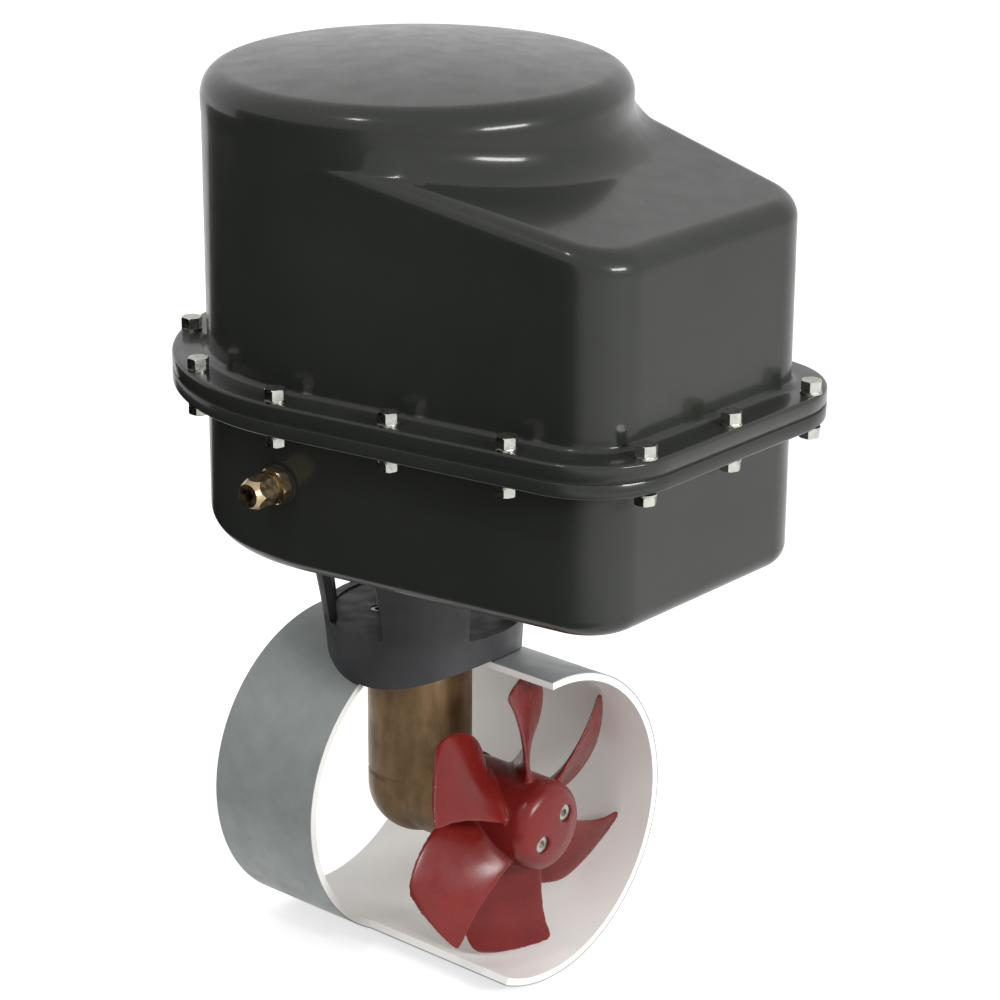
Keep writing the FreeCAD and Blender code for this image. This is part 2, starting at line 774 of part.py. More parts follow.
def tunnel_section():
    shell = tube(tunnel_outer, tunnel_inner, V(tunnel_rear, 0, 0), V(tunnel_front, 0, 0))
    return shell.cut(cutaway()).cut(upright(leg_radius + 3 * seat, 0, 2 * tunnel_outer))


def saddle_gasket():
    reach = 2 * plinth_top_radius
    sheet = tube(saddle_radius, tunnel_outer, V(-reach, 0, 0), V(reach, 0, 0))
    sheet = sheet.common(plinth_form(0.5)).cut(upright(leg_radius + 1, 0, 2 * tunnel_outer))
    return sheet.cut(cutaway())


# ---- Leg and gearcase ----------------------------------------------------------------------
def leg():
    body = fused([upright(leg_radius, 0, leg_top),
                  Part.makeSphere(leg_radius),
                  level(gearcase_radius, 0, gearcase_front)])
    groove = Part.makeTorus(leg_radius + leg_groove_radius - leg_groove_depth, leg_groove_radius,
                            V(0, 0, leg_groove_height), Z)
    rear_half = block(V(-2 * leg_radius, -2 * leg_radius, 0),
                      V(leg_groove_front, 2 * leg_radius, 2 * leg_groove_height))
    screw_end = cap_screw_seat - cap_screw_length
    tools = [groove.common(rear_half),
             upright(shaft_bearing_radius + seat, lower_bearing_base, leg_top + break_through),
             upright(pinion_chamber_radius, 0, lower_bearing_base + break_through),
             level(gearcase_bore, gearcase_bore_rear, gearcase_front + break_through),
             level(bush_passage_radius, bush_rear + bush_length, 0),
             level(bush_radius + seat, bush_rear, 0)]
    tools += leg_screw_holes(leg_top - leg_screw_hole_depth, leg_top + break_through,
                             leg_screw_radius + running)
    tools += [level(cap_screw_radius + running, screw_end - break_through,
                    gearcase_front + break_through, p.x, p.y)
              for p in circle_points(4, cap_screw_circle, 45)]
    return cut_all(body, tools)


def leg_gasket():
    ring = tube(leg_radius, shaft_bearing_radius + 0.5, V(0, 0, leg_top), V(0, 0, plinth_floor))
    return cut_all(ring, leg_screw_holes(leg_top - 1, plinth_floor + 1, leg_screw_radius + bolt_gap))


def cap_screw(radius, head_radius, head_height, length):
    """A socket-head screw on Z: its head above z=0, its shank below."""
    head = upright(head_radius, 0, head_height)
    socket = hexagon(radius * 1.6, head_height * 0.45, head_height + 1)
    return head.cut(socket).fuse(upright(radius, -length, 0))


def leg_screws():
    screw = cap_screw(leg_screw_radius, leg_screw_head, 2 * leg_screw_radius,
                      leg_screw_seat - leg_top + leg_screw_grip)
    return Part.makeCompound([aim(screw, V(p.x, p.y, leg_screw_seat), Z)
                              for p in circle_points(4, leg_screw_circle, 45)])


def gearcase_cap():
    inner = propeller_bearing_x
    pocket_end = propeller_bearing_x + propeller_bearing_width
    body = fused([level(gearcase_bore - seat, inner, gearcase_front),
                  level(gearcase_radius, gearcase_front, cap_face),
                  level(cap_nose_radius, cap_face, cap_nose)])
    tools = [level(shaft_bearing_radius + seat, inner - break_through, pocket_end),
             level(propeller_shaft_radius + 2, inner, cap_nose + break_through),
             level(seal_radius + seat, cap_face, cap_nose + break_through)]
    for p in circle_points(4, cap_screw_circle, 45):
        tools.append(level(cap_screw_radius + bolt_gap, gearcase_front - break_through,
                           cap_face + break_through, p.x, p.y))
        tools.append(level(cap_screw_head + seat, cap_screw_seat, cap_face + break_through, p.x, p.y))
    return cut_all(body, tools)


def cap_screws():
    screw = cap_screw(cap_screw_radius, cap_screw_head, cap_screw_sink, cap_screw_length)
    return Part.makeCompound([aim(screw, V(cap_screw_seat, p.x, p.y), X)
                              for p in circle_points(4, cap_screw_circle, 45)])


# ---- Shafts, bearings and gears ------------------------------------------------------------
def drive_shaft():
    return fused([upright(pinion_bore, drive_shaft_foot, lower_bearing_base),
                  upright(drive_shaft_radius, lower_bearing_base, drive_shaft_top)])


def propeller_shaft():
    return fused([level(bush_shaft_radius, bush_rear + air, gear_seat_x),
                  level(propeller_shaft_radius, gear_seat_x, drive_flange_x),
                  level(drive_flange_radius, drive_flange_x, drive_flange_end)])


def ball_bearings():
    drive = []
    for base in (lower_bearing_base, upper_bearing_base):
        drive += bearing(drive_shaft_radius + running, shaft_bearing_radius,
                         V(0, 0, base), V(0, 0, base + shaft_bearing_width))
    save("drive_shaft_bearings", Part.makeCompound(drive))
    front = V(propeller_bearing_x + propeller_bearing_width, 0, 0)
    save("propeller_shaft_bearing",
         Part.makeCompound(bearing(propeller_shaft_radius + running, shaft_bearing_radius,
                                   V(propeller_bearing_x, 0, 0), front)))
    motor = bearing(motor_shaft_radius + running, motor_bearing_radius,
                    V(0, 0, can_base - motor_bearing_width), V(0, 0, can_base))
    motor += bearing(motor_shaft_radius + running, motor_bearing_radius,
                     V(0, 0, can_top + 0.5), V(0, 0, can_top + 0.5 + motor_bearing_width))
    save("motor_bearings", Part.makeCompound(motor))


def lip_seal(bore, outer, width):
    """A rotary lip seal on Z: a cup of rubber whose lip runs close to the shaft."""
    inner = bore + seal_lip_gap
    lip = width - seal_lip_width
    return spun([(inner, 0), (outer, 0), (outer, width), (bore + running, width),
                 (bore + running, lip), (bore + seal_lip_width, lip - 1), (inner, seal_floor)])


def seals_and_spacer():
    base = upper_bearing_base + shaft_bearing_width
    save("drive_shaft_seal",
         aim(lip_seal(drive_shaft_radius, shaft_bearing_radius, shaft_seal_width), V(0, 0, base), Z))
    save("propeller_shaft_seal",
         aim(lip_seal(propeller_shaft_radius, seal_radius, cap_nose - cap_face), V(cap_face, 0, 0), X))
    spacer_base = lower_bearing_base + shaft_bearing_width
    save("bearing_spacer", tube(shaft_bearing_radius, shaft_bearing_radius - spacer_wall,
                                V(0, 0, spacer_base), V(0, 0, upper_bearing_base)))
    save("rear_bush", tube(bush_radius, bush_shaft_radius + running,
                           V(bush_rear, 0, 0), V(bush_rear + bush_length, 0, 0)))


def cone_point(distance, cone, azimuth):
    """A point at a distance from the apex, on a cone about Z, with angles in radians."""
    ring = distance * math.sin(cone)
    return V(ring * math.cos(azimuth), ring * math.sin(azimuth), distance * math.cos(cone))


def bevel_gear(teeth, pitch_radius, height, back, bore):
    """A straight bevel gear on Z with its apex at the origin and one tooth towards +X."""
    cone = math.atan2(pitch_radius, height)
    root = cone - math.atan(dedendum_share * gear_module / cone_distance)
    tip = cone + math.atan(addendum_share * gear_module / cone_distance)
    near, far = gear_inner, cone_distance
    body = spun([(bore, near * math.cos(root)),
                 (near * math.sin(root), near * math.cos(root)),
                 (far * math.sin(root), far * math.cos(root)),
                 (far * math.sin(root), back), (bore, back)])
    half = math.pi / teeth * tooth_share
    embedded = root - math.radians(2)
    corners = [(embedded, -1.3 * half), (tip, -0.6 * half), (tip, 0.6 * half), (embedded, 1.3 * half)]
    ends = []
    for distance in (near, far):
        points = [cone_point(distance, c, a) for c, a in corners]
        ends.append(Part.makePolygon(points + points[:1]))
    tooth = Part.makeLoft(ends, True, True)
    return fused([body] + around(teeth, tooth))


def gears():
    save("pinion_gear", bevel_gear(pinion_teeth, pinion_pitch_radius, crown_pitch_radius,
                                   lower_bearing_base - gear_back_gap, pinion_bore + seat))
    crown = bevel_gear(crown_teeth, crown_pitch_radius, pinion_pitch_radius,
                       propeller_bearing_x - gear_back_gap, propeller_shaft_radius + seat)
    crown = turned(crown, 180.0 / crown_teeth)
    save("crown_gear", turned(crown, 90, Y))


# ---- Propeller -----------------------------------------------------------------------------
def blend(start, end, s, bow=0.0):
    """A value that runs from start to end with s, bowed back between them."""
    return start + (end - start) * s - bow * s * (1 - s)


def edge_point(height, angles, places, bow):
    """Where a blade edge meets the plane at a height along the blade: x and sideways place."""
    radius = height
    for _ in range(6):
        s = (radius - hub_radius) / (propeller_radius - hub_radius)
        angle = math.radians(blend(angles[0], angles[1], s, bow))
        radius = height / math.cos(angle)
    return blend(places[0], places[1], s), height * math.tan(angle)


def blade_section(height):
    """The closed outline of a blade at a height above the shaft's axis."""
    lead_x, lead_t = edge_point(height, (lead_root_angle, lead_tip_angle),
                                (hub_rear + lead_root_place, hub_rear + lead_tip_place), lead_bow)
    trail_x, trail_t = edge_point(height, (trail_root_angle, trail_tip_angle),
                                  (hub_rear + trail_root_place, hub_rear + trail_tip_place),
                                  trail_bow)
    share = (height - hub_radius) / (propeller_radius - hub_radius)
    thickness = blend(blade_root_thickness, blade_tip_thickness, min(max(share, 0), 1))
    lead, trail = V(lead_x, -lead_t, height), V(trail_x, -trail_t, height)
    chord = trail - lead
    across = V(chord.y, -chord.x, 0).normalize()
    sides = []
    for sign in (1, -1):
        points = []
        for i in range(section_steps + 1):
            u = i / float(section_steps)
            half = thickness * (section_edge + section_swell * math.sqrt(4 * u * (1 - u)))
            points.append(lead + chord * u + across * (sign * half))
        curve = Part.BSplineCurve()
        curve.interpolate(points)
        sides.append((curve.toShape(), points[0], points[-1]))
    upper, lower = sides
    return Part.Wire([upper[0], Part.makeLine(upper[2], lower[2]),
                      lower[0], Part.makeLine(lower[1], upper[1])])


def blade():
    """One blade pointing along +Z, cut to the propeller's radius."""
    low, high = hub_radius - root_sink, propeller_radius + tip_overrun
    sections = [blade_section(low + (high - low) * i / (blade_stations - 1.0))
                for i in range(blade_stations)]
    solid = Part.makeLoft(sections, True, False)
    return solid.common(level(propeller_radius, hub_rear - 10, hub_front + 10))


def hub_points():
    """Plan of the two hub screws about the propeller's axis, as (y, z) on polar's x and y."""
    return circle_points(2, hub_screw_circle, hub_screw_turn)


def propeller():
    form = level(hub_radius, hub_rear, hub_front)
    form = form.makeFillet(hub_edge_radius, edges_at(form, lambda p: abs(p.x - hub_front) < 0.01))
    blades = [turned(blade(), blade_turn - 90 + 360.0 * i / blade_count, X)
              for i in range(blade_count)]
    tools = [level(cap_nose_radius + hub_pocket_gap, hub_rear - break_through, cap_nose + 2),
             level(drive_flange_radius + seat, cap_nose, drive_flange_end)]
    for p in hub_points():
        tools.append(level(hub_screw_radius + bolt_gap, drive_flange_end - break_through, hub_front,
                           p.x, p.y))
        tools.append(level(hub_screw_head + bolt_gap, hub_screw_recess, hub_front + break_through,
                           p.x, p.y))
    return cut_all(fused([form] + blades), tools)


def propeller_screws():
    screw = cap_screw(hub_screw_radius, hub_screw_head, hub_screw_head_height,
                      hub_screw_recess - drive_flange_x - 1.0)
    return Part.makeCompound([aim(screw, V(hub_screw_recess, p.x, p.y), X) for p in hub_points()])


def drilled_propeller_shaft():
    holes = [level(hub_screw_radius + running, drive_flange_x - break_through,
                   drive_flange_end + break_through, p.x, p.y) for p in hub_points()]
    return cut_all(propeller_shaft(), holes)


# ---- Coupling ------------------------------------------------------------------------------
def pie(outer, inner, low, high, middle, width):
    """A ring sector about Z."""
    sector = Part.makeCylinder(outer, high - low, V(0, 0, low), Z, width)
    return turned(sector.cut(upright(inner, low - 1, high + 1)), middle - width / 2)


def coupling():
    jaw_low = coupling_base + coupling_hub_height
    jaw_high = jaw_low + coupling_jaw_height
    step = 360.0 / coupling_jaws
    inner = spider_radius + 1
    lower = [upright(coupling_radius, coupling_base, jaw_low)]
    upper = [upright(coupling_radius, jaw_high, coupling_top)]
    arms = [upright(spider_radius, jaw_low + air, jaw_high - air)]
    for i in range(coupling_jaws):
        lower.append(pie(coupling_radius, inner, jaw_low - 1, jaw_high - air, i * step,
                         coupling_jaw_width))
        upper.append(pie(coupling_radius, inner, jaw_low + air, jaw_high + 1, (i + 0.5) * step,
                         coupling_jaw_width))
        for side in (-1, 1):
            arms.append(pie(coupling_radius - 1, spider_radius - 1, jaw_low + air, jaw_high - air,
                            (i + side * 0.25) * step, spider_arm_width))
    bore = upright(drive_shaft_radius + seat, coupling_base - 1, drive_shaft_top)
    save("coupling_lower_hub", fused(lower).cut(bore))
    bore = upright(motor_shaft_radius + seat, jaw_high - 1, coupling_top + 1)
    save("coupling_upper_hub", fused(upper).cut(bore))
    save("coupling_spider", fused(arms))


# ---- Motor ---------------------------------------------------------------------------------
def through_bolt_holes(low, high, radius):
    return [upright(radius, low, high, p.x, p.y) for p in circle_points(4, through_bolt_circle, 45)]


def motor_casing():
    lower = upright(motor_radius, pan_floor, can_base)
    tools = [upright(motor_bearing_radius + seat, can_base - motor_bearing_width, can_base + 1),
             upright(motor_shaft_radius + 2, pan_floor - 1, can_base)]
    tools += motor_screw_holes(pan_floor - 1, can_base - motor_screw_end_gap + 1,
                               motor_screw_radius + running)
    tools += through_bolt_holes(pan_floor + through_bolt_floor - 1, can_base + 1,
                                through_bolt_radius + running)
    save("motor_lower_plate", cut_all(lower, tools))
    save("motor_can", tube(motor_radius, motor_radius - motor_can_wall,
                           V(0, 0, can_base), V(0, 0, can_top)))
    upper = upright(motor_radius, can_top, motor_top)
    tools = [upright(motor_bearing_radius + seat, can_top - 1, can_top + motor_bearing_width + 0.5)]
    tools += through_bolt_holes(can_top - 1, motor_top + 1, through_bolt_radius + bolt_gap)
    tools += [upright(terminal_radius + seat, can_top - 1, motor_top + 1, terminal_x, side * contactor_spread)
              for side in (-1, 1)]
    save("motor_upper_plate", cut_all(upper, tools))
    magnet = pie(motor_radius - motor_can_wall - seat, magnet_inner, magnet_base,
                 magnet_base + magnet_length, 0, magnet_angle)
    save("field_magnets", Part.makeCompound(around(magnet_count, magnet)))
    bolt = upright(through_bolt_radius, pan_floor + through_bolt_floor, motor_top)
    bolt = bolt.fuse(hexagon(through_bolt_flats, motor_top, motor_top + through_bolt_head))
    save("motor_through_bolts", Part.makeCompound(
        [aim(bolt, p, Z) for p in circle_points(4, through_bolt_circle, 45)]))


def motor_screws():
    head_height = 2 * motor_screw_radius
    screw = cap_screw(motor_screw_radius, socket_head_share * motor_screw_radius, head_height,
                      can_base - motor_screw_end_gap - plinth_flange_base)
    return Part.makeCompound([aim(screw, V(p.x, p.y, plinth_flange_base), V(0, 0, -1))
                              for p in circle_points(4, motor_screw_circle, 0)])


def armature():
    low, high = magnet_base, magnet_base + magnet_length
    core = tube(armature_radius, motor_shaft_radius + seat, V(0, 0, low), V(0, 0, high))
    floor = armature_radius - slot_depth
    face = armature_radius - winding_sink
    half = slot_width / 2
    slot = block(V(floor, -half, low - break_through), V(armature_radius + 1, half, high + break_through))
    save("armature_core", cut_all(core, around(armature_slots, slot)))
    bar = block(V(floor + seat, winding_gap - half, low - break_through),
                V(face, half - winding_gap, high + break_through))
    inner = floor - winding_ring_depth
    rings = [spun([(inner, base), (inner + winding_ring_slope, base + step), (face - 2, base + step),
                   (face, base + step / 2), (face, base), (inner, base)])
             for base, step in ((high + winding_gap, winding_overhang),
                                (low - winding_gap, -winding_overhang))]
    save("armature_windings", fused(rings + around(armature_slots, bar)))
    slit = block(V(commutator_radius - slit_depth, -slit_width / 2, commutator_base - break_through),
                 V(commutator_radius + 1, slit_width / 2,
                   commutator_base + commutator_length + break_through))
    ring = tube(commutator_radius, motor_shaft_radius + seat, V(0, 0, commutator_base),
                V(0, 0, commutator_base + commutator_length))
    save("commutator", cut_all(ring, around(commutator_slits, slit)))
    foot = coupling_top - coupling_hub_height + break_through
    save("armature_shaft", upright(motor_shaft_radius, foot, can_top + motor_bearing_width))


def brush_gear():
    base = commutator_base - brush_ring_drop
    top = base + brush_ring_thickness
    plate = tube(motor_radius - motor_can_wall - seat, commutator_radius + brush_standoff,
                 V(0, 0, base), V(0, 0, top))
    half = brush_width / 2
    low = top + brush_lift
    high = low + brush_width
    inner = commutator_radius + brush_standoff
    outer = inner + brush_length
    holder = block(V(inner, -half - holder_wall, base), V(outer, half + holder_wall, high + holder_wall))
    guide = block(V(inner - break_through, -half - seat, low - seat),
                  V(outer + break_through, half + seat, high + seat))
    ring = fused([plate] + around(brush_count, holder.cut(guide)))
    save("brush_ring", cut_all(ring, through_bolt_holes(base - break_through, top + break_through,
                                                        through_bolt_radius + bolt_gap)))
    face = upright(commutator_radius + air, low - break_through, high + break_through)
    brush = block(V(commutator_radius, -half, low), V(outer - brush_standoff, half, high)).cut(face)
    save("brushes", Part.makeCompound(around(brush_count, brush)))


# ---- Contactors ----------------------------------------------------------------------------
def bracket():
    high = bracket_base + bracket_height
    plate = block(V(bracket_x, -bracket_half_width, bracket_base),
                  V(bracket_x + bracket_thickness, bracket_half_width, high))
    pads = [level(pad_radius, motor_radius / 2, bracket_x + bracket_thickness / 2, side * pad_spread, z)
            for side in (-1, 1) for z in (bracket_base + pad_inset, high - pad_inset)]
    return fused([plate] + pads).cut(upright(motor_radius + seat, bracket_base - 1, high + 1))


def contactors():
    cans, caps, coils, studs = [], [], [], []
    chamber = contactor_radius - chamber_wall
    coil_radius = contactor_radius - contactor_wall - coil_clearance
    floor = contactor_base + contactor_wall
    disc_low = contactor_top + disc_lift
    disc_high = disc_low + disc_thickness
    for side, name in ((-1, "near"), (1, "far")):
        x, y = contactor_x, side * contactor_spread
        foot = block(V(bracket_x + bracket_thickness + seat, y - foot_half_width, contactor_base + foot_low),
                     V(x, y + foot_half_width, contactor_top - foot_high))
        can = upright(contactor_radius, contactor_base, contactor_top, x, y).fuse(foot)
        hollow = upright(contactor_radius - contactor_wall, floor, contactor_top + 1, x, y)
        cans.append(can.cut(hollow))
        cap = upright(contactor_radius, contactor_top, stud_base, x, y)
        cap = cap.cut(upright(chamber, contactor_top - 1, stud_base - cap_roof, x, y))
        coil = upright(coil_radius, floor, contactor_top - coil_top_gap, x, y)
        coils.append(coil.cut(upright(plunger_radius + running, contactor_base, contactor_top, x, y)))
        for shift in (-contactor_stud_spread, contactor_stud_spread):
            place = x + shift
            cap = cap.cut(upright(terminal_radius + seat, stud_base - cap_roof - 1, stud_base + 1, place, y))
            studs.append(upright(terminal_radius, disc_high + plunger_travel + air,
                                 stud_base + terminal_height, place, y))
        caps.append(cap)
        plunger = fused([upright(plunger_radius, floor + air, disc_low, x, y),
                         upright(chamber - disc_gap, disc_low, disc_high, x, y)])
        save("contactor_plunger_%s" % name, plunger)
        studs.append(upright(terminal_radius, can_top + 1, motor_top + terminal_height, terminal_x, y))
    save("contactor_cans", Part.makeCompound(cans))
    save("contactor_caps", Part.makeCompound(caps))
    save("contactor_coils", Part.makeCompound(coils))
    save("terminal_studs", Part.makeCompound(studs))


def bus_bars():
    bars, nuts = [], []
    hole = terminal_radius + running
    nut = hexagon(terminal_nut_flats, 0, terminal_nut_height)
    nut = nut.cut(upright(hole, -1, terminal_nut_height + 1))
    riser_x = motor_radius + bar_riser_gap
    for side in (-1, 1):
        y = side * contactor_spread
        stud_x = contactor_x - contactor_stud_spread
        low, high = y - bar_width / 2, y + bar_width / 2
        top = motor_top + bar_thickness
        bar = fused([
            block(V(riser_x, low, stud_base), V(stud_x + bar_overhang, high, stud_base + bar_thickness)),
            block(V(riser_x, low, stud_base), V(riser_x + bar_thickness, high, top)),
            block(V(terminal_x - bar_overhang, low, motor_top), V(riser_x + bar_thickness, high, top))])
        bars.append(cut_all(bar, [upright(hole, stud_base - 1, stud_base + 4, stud_x, y),
                                  upright(hole, motor_top - 1, top + 1, terminal_x, y)]))
        for place, base in ((stud_x, stud_base + bar_thickness), (terminal_x, top),
                            (contactor_x + contactor_stud_spread, stud_base)):
            nuts.append(aim(nut, V(place, y, base), Z))
    save("bus_bars", Part.makeCompound(bars))
    save("terminal_nuts", Part.makeCompound(nuts))


def build():
    os.makedirs("parts", exist_ok=True)
    save("housing_cover", housing_cover())
    save("housing_pan", housing_pan())
    save("flange_gasket", flange_gasket())
    flange_fasteners()
    glands()
    save("plinth", plinth())
    save("pan_gasket", pan_gasket())
    save("saddle_gasket", saddle_gasket())
    save("tunnel_section", tunnel_section())
    save("leg", leg())
    save("leg_gasket", leg_gasket())
    save("leg_screws", leg_screws())
    save("motor_screws", motor_screws())
    save("gearcase_cap", gearcase_cap())
    save("gearcase_cap_screws", cap_screws())
    save("drive_shaft", drive_shaft())
    save("propeller_shaft", drilled_propeller_shaft())
    ball_bearings()
    seals_and_spacer()
    gears()
    save("propeller", propeller())
    save("propeller_screws", propeller_screws())
    coupling()
    motor_casing()
    armature()
    brush_gear()
    save("contactor_bracket", bracket())
    contactors()
    bus_bars()


build()
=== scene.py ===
"""Looks of an electric bow thruster, in metres, in the CAD model's own frame.

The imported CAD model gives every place. The housing's two shells and the propeller are modelled
here as smooth meshes; the other pieces keep their CAD shape. Every surface gets a node material.
"""
import json
import math
import bmesh
import bpy
import numpy as np
from mathutils import Matrix, Vector

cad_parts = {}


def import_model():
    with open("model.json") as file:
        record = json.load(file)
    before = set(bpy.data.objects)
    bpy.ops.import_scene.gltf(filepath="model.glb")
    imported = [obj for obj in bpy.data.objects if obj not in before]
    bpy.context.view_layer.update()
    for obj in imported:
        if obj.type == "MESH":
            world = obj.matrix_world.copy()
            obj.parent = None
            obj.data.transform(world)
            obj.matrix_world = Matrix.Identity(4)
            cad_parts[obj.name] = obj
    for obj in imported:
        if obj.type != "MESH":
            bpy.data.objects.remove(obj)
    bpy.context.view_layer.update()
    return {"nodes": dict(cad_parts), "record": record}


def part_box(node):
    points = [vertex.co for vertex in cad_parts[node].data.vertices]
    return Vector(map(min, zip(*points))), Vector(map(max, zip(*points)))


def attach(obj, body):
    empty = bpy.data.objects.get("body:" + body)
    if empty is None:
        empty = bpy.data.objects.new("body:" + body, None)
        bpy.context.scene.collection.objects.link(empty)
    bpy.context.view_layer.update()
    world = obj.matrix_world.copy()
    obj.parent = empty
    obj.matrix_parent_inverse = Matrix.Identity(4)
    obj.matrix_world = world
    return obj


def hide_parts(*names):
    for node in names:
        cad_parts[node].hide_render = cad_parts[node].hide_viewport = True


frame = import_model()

MM = 0.001

# ---- Places read from the frame ------------------------------------------------------------------
cover_low, cover_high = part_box("housing_cover")
pan_low, pan_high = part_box("housing_pan")
hub_low, hub_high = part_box("propeller")
tunnel_low, tunnel_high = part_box("tunnel_section")
screws_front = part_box("propeller_screws")[1].x
shaft_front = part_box("propeller_shaft")[1].x
cap_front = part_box("gearcase_cap")[1].x

# ---- Housing: its plan is a round end with tapered sides and a flat end with round corners -------
flange_width = 20.5 * MM
flange_thickness = 9.0 * MM
side_taper = math.radians(8.88)
corner_radius = 34.0 * MM
wall = 4.0 * MM
wall_radius = -cover_low.x - flange_width
wall_end = cover_high.x - flange_width
cover_seam = cover_low.z
pan_seam = pan_high.z
dome_crown = 9.0 * MM
dome_edge = cover_high.z - dome_crown
dome_edge_radius = 13.0 * MM
slope_drop = 18.0 * MM             # from the dome's edge to the sloped roof, on the motor axis
slope_fall = 0.183
slope_edge_radius = 11.0 * MM
slope_start = -20.0 * MM
crease_radius = 20.0 * MM          # hollow fillet where the dome meets the sloped roof
foot_radius = 4.5 * MM             # hollow fillet where a wall meets its flange
lip_radius = 2.2 * MM
pan_edge_radius = 12.0 * MM
shaft_hole_radius = 25.0 * MM
lip_row_share = 0.6                # where a row crosses the flange's face, as a share of its width
row_gap = 2.0 * MM                 # from a fillet to the next row of points
edge_gap = 0.0003                  # between two rows that keep an edge sharp
round_end_steps = 400
corner_steps = 120
outline_steps = 520
roof_rows = 170
roof_rows_inside = 90
pan_edge_steps = (12, 8)           # outside, inside
under_shares = (0.02, 0.25, 0.5, 0.75, 0.97)    # rows under the pan's floor, edge to hole
over_shares = (0.03, 0.5, 0.98)                 # rows over it, hole to edge
ray_origin_z = 0.44                # height of the rays' start, as a share of the cover's height
ray_halvings = 34
ray_samples = 260
ray_top_gap = 0.003                # radians left open round the roof's middle
row_length = 0.0022                # a length that counts, when rows are spread over the roof, ...
row_bend = math.radians(9)         # ... as much as a bend by this angle

# ---- Propeller -----------------------------------------------------------------------------------
blade_count = 6
hub_radius = 28.0 * MM
tip_radius = hub_high.z
blade_turn = math.radians(135.0)
lead_angles = (math.radians(-29.0), math.radians(-3.0))
trail_angles = (math.radians(28.0), math.radians(30.0))
lead_bow = math.radians(26.0)
trail_bow = math.radians(14.0)
lead_places = (17.0 * MM, 28.0 * MM)
trail_places = (51.0 * MM, 47.0 * MM)
root_thickness = 5.0 * MM
tip_thickness = 2.4 * MM
root_flare = 5.0 * MM
flare_reach = 3.2 * MM
hub_edge_radius = 10.0 * MM
hub_dome = 1.5 * MM
tip_corner = 5.0 * MM              # radius of the corners at a blade's tip
edge_thickness = 0.06              # half a blade's thickness at its edges, as a share of the whole
belly_thickness = 0.44             # what its middle adds to that
belly_fullness = 0.7               # power of the belly's curve: a lower one is fuller
blade_steps = 18
root_depth = 6 * MM                # how far a blade starts inside the hub
root_top = 10 * MM                 # the root's close rings end here, above the hub
root_ring_gap = 3 * MM             # from those to the blade's other rings
blade_rings = (14, 14, 9)          # at the root, along the blade and round its tip
tip_ring_power = 0.6
pocket_gap = 2.5 * MM
cap_nose_radius = 20.0 * MM
flange_pocket_radius = 18.05 * MM
screw_well_radius = 5.3 * MM
screw_circle = 12.2 * MM
screw_turn = math.radians(34.0)
screw_well_depth = 0.006           # how far a well goes past the screws' faces
screw_well_rise = 0.008            # how far its cutter stands in front of the hub
screw_well_sides = 40
hub_edge_end = 82                  # degrees of the hub's edge that are round
hub_edge_steps = 12
hub_face_radius = 0.018
hub_face_radii = (0.014, 0.009, 0.004)
hub_face_share = 0.6               # how much of the hub's rise its flat middle takes
point_radius = 0.0002              # stands for a point on the axis
pocket_depth = 0.002               # past the gear case's nose
hub_columns = 144
propeller_voxel = 0.8 * MM
propeller_smoothing = 5

# ---- Camera and light ----------------------------------------------------------------------------
camera_place = Vector((1.18997, -1.30562, 0.82495))
camera_azimuth = math.radians(40.78)
camera_pitch = math.radians(19.97)
camera_roll = math.radians(0.35)
camera_lens = 113.01
camera_sensor = 36.0
camera_reach = 50.0
floor_half = 12.0
floor_shade = 0.6
floor_glow = 0.66
room_seen = 1.0
room_lit = 0.8
lamp_target = Vector((0.04, 0.0, 0.2))
lamp_reach = 2.2
key_side = Vector((0.934, -0.042, 0.355))
key_size = (0.9, 0.3)
key_power = 32.0
glint_side = Vector((-0.02, -0.555, 0.832))
glint_size = (0.18, 0.18)
glint_power = 4.5
card_black = (0.004, 0.004, 0.004, 1)
card_gap = 0.002                   # over the floor
card_top = 1.0
card_fade = (0.2, 0.9)             # the cards fade out between these two values of x
lying_card = ((0.9, -0.2), (0.9, -2.6), (-3.2, -2.6), (-3.2, 0.6), (-0.6, 0.3), (-0.3, -0.2))
standing_card = ((-3.2, -1.5), (0.9, -2.4))


# ---- Meshes --------------------------------------------------------------------------------------
def add_object(name, data):
    """A new object in the scene."""
    piece = bpy.data.objects.new(name, data)
    bpy.context.scene.collection.objects.link(piece)
    return piece


def add_mesh(name, points, faces):
    """A new smooth mesh object from lists of points and faces."""
    mesh = bpy.data.meshes.new(name)
    mesh.from_pydata([tuple(p) for p in points], [], faces)
    mesh.update()
    mesh.shade_smooth()
    return add_object(name, mesh)


def closed_mesh(name, points, faces):
    """A closed mesh object whose faces all point outwards."""
    piece = add_mesh(name, points, faces)
    turned = bmesh.new()
    turned.from_mesh(piece.data)
    bmesh.ops.recalc_face_normals(turned, faces=turned.faces)
    turned.to_mesh(piece.data)
    turned.free()
    return piece


def apply_modifiers(piece):
    """Replace a piece's mesh by what its modifiers make of it."""
    bpy.context.view_layer.update()
    graph = bpy.context.evaluated_depsgraph_get()
    mesh = bpy.data.meshes.new_from_object(piece.evaluated_get(graph))
    piece.modifiers.clear()
    piece.data = mesh


def ring_faces(rows, columns):
    """Quads between rows of points that each close on themselves."""
    faces = []
    for row in range(rows - 1):
        for column in range(columns):
            after = (column + 1) % columns
            faces.append((row * columns + column, row * columns + after,
                          (row + 1) * columns + after, (row + 1) * columns + column))
    return faces


def closing_faces(rows, columns):
    """Quads from the last row of points back to the first."""
    last = (rows - 1) * columns
    return [(last + c, last + (c + 1) % columns, (c + 1) % columns, c) for c in range(columns)]


def arc(start, end, steps):
    """Angles from start to end in degrees, both included."""
    return [math.radians(start + (end - start) * i / steps) for i in range(steps + 1)]


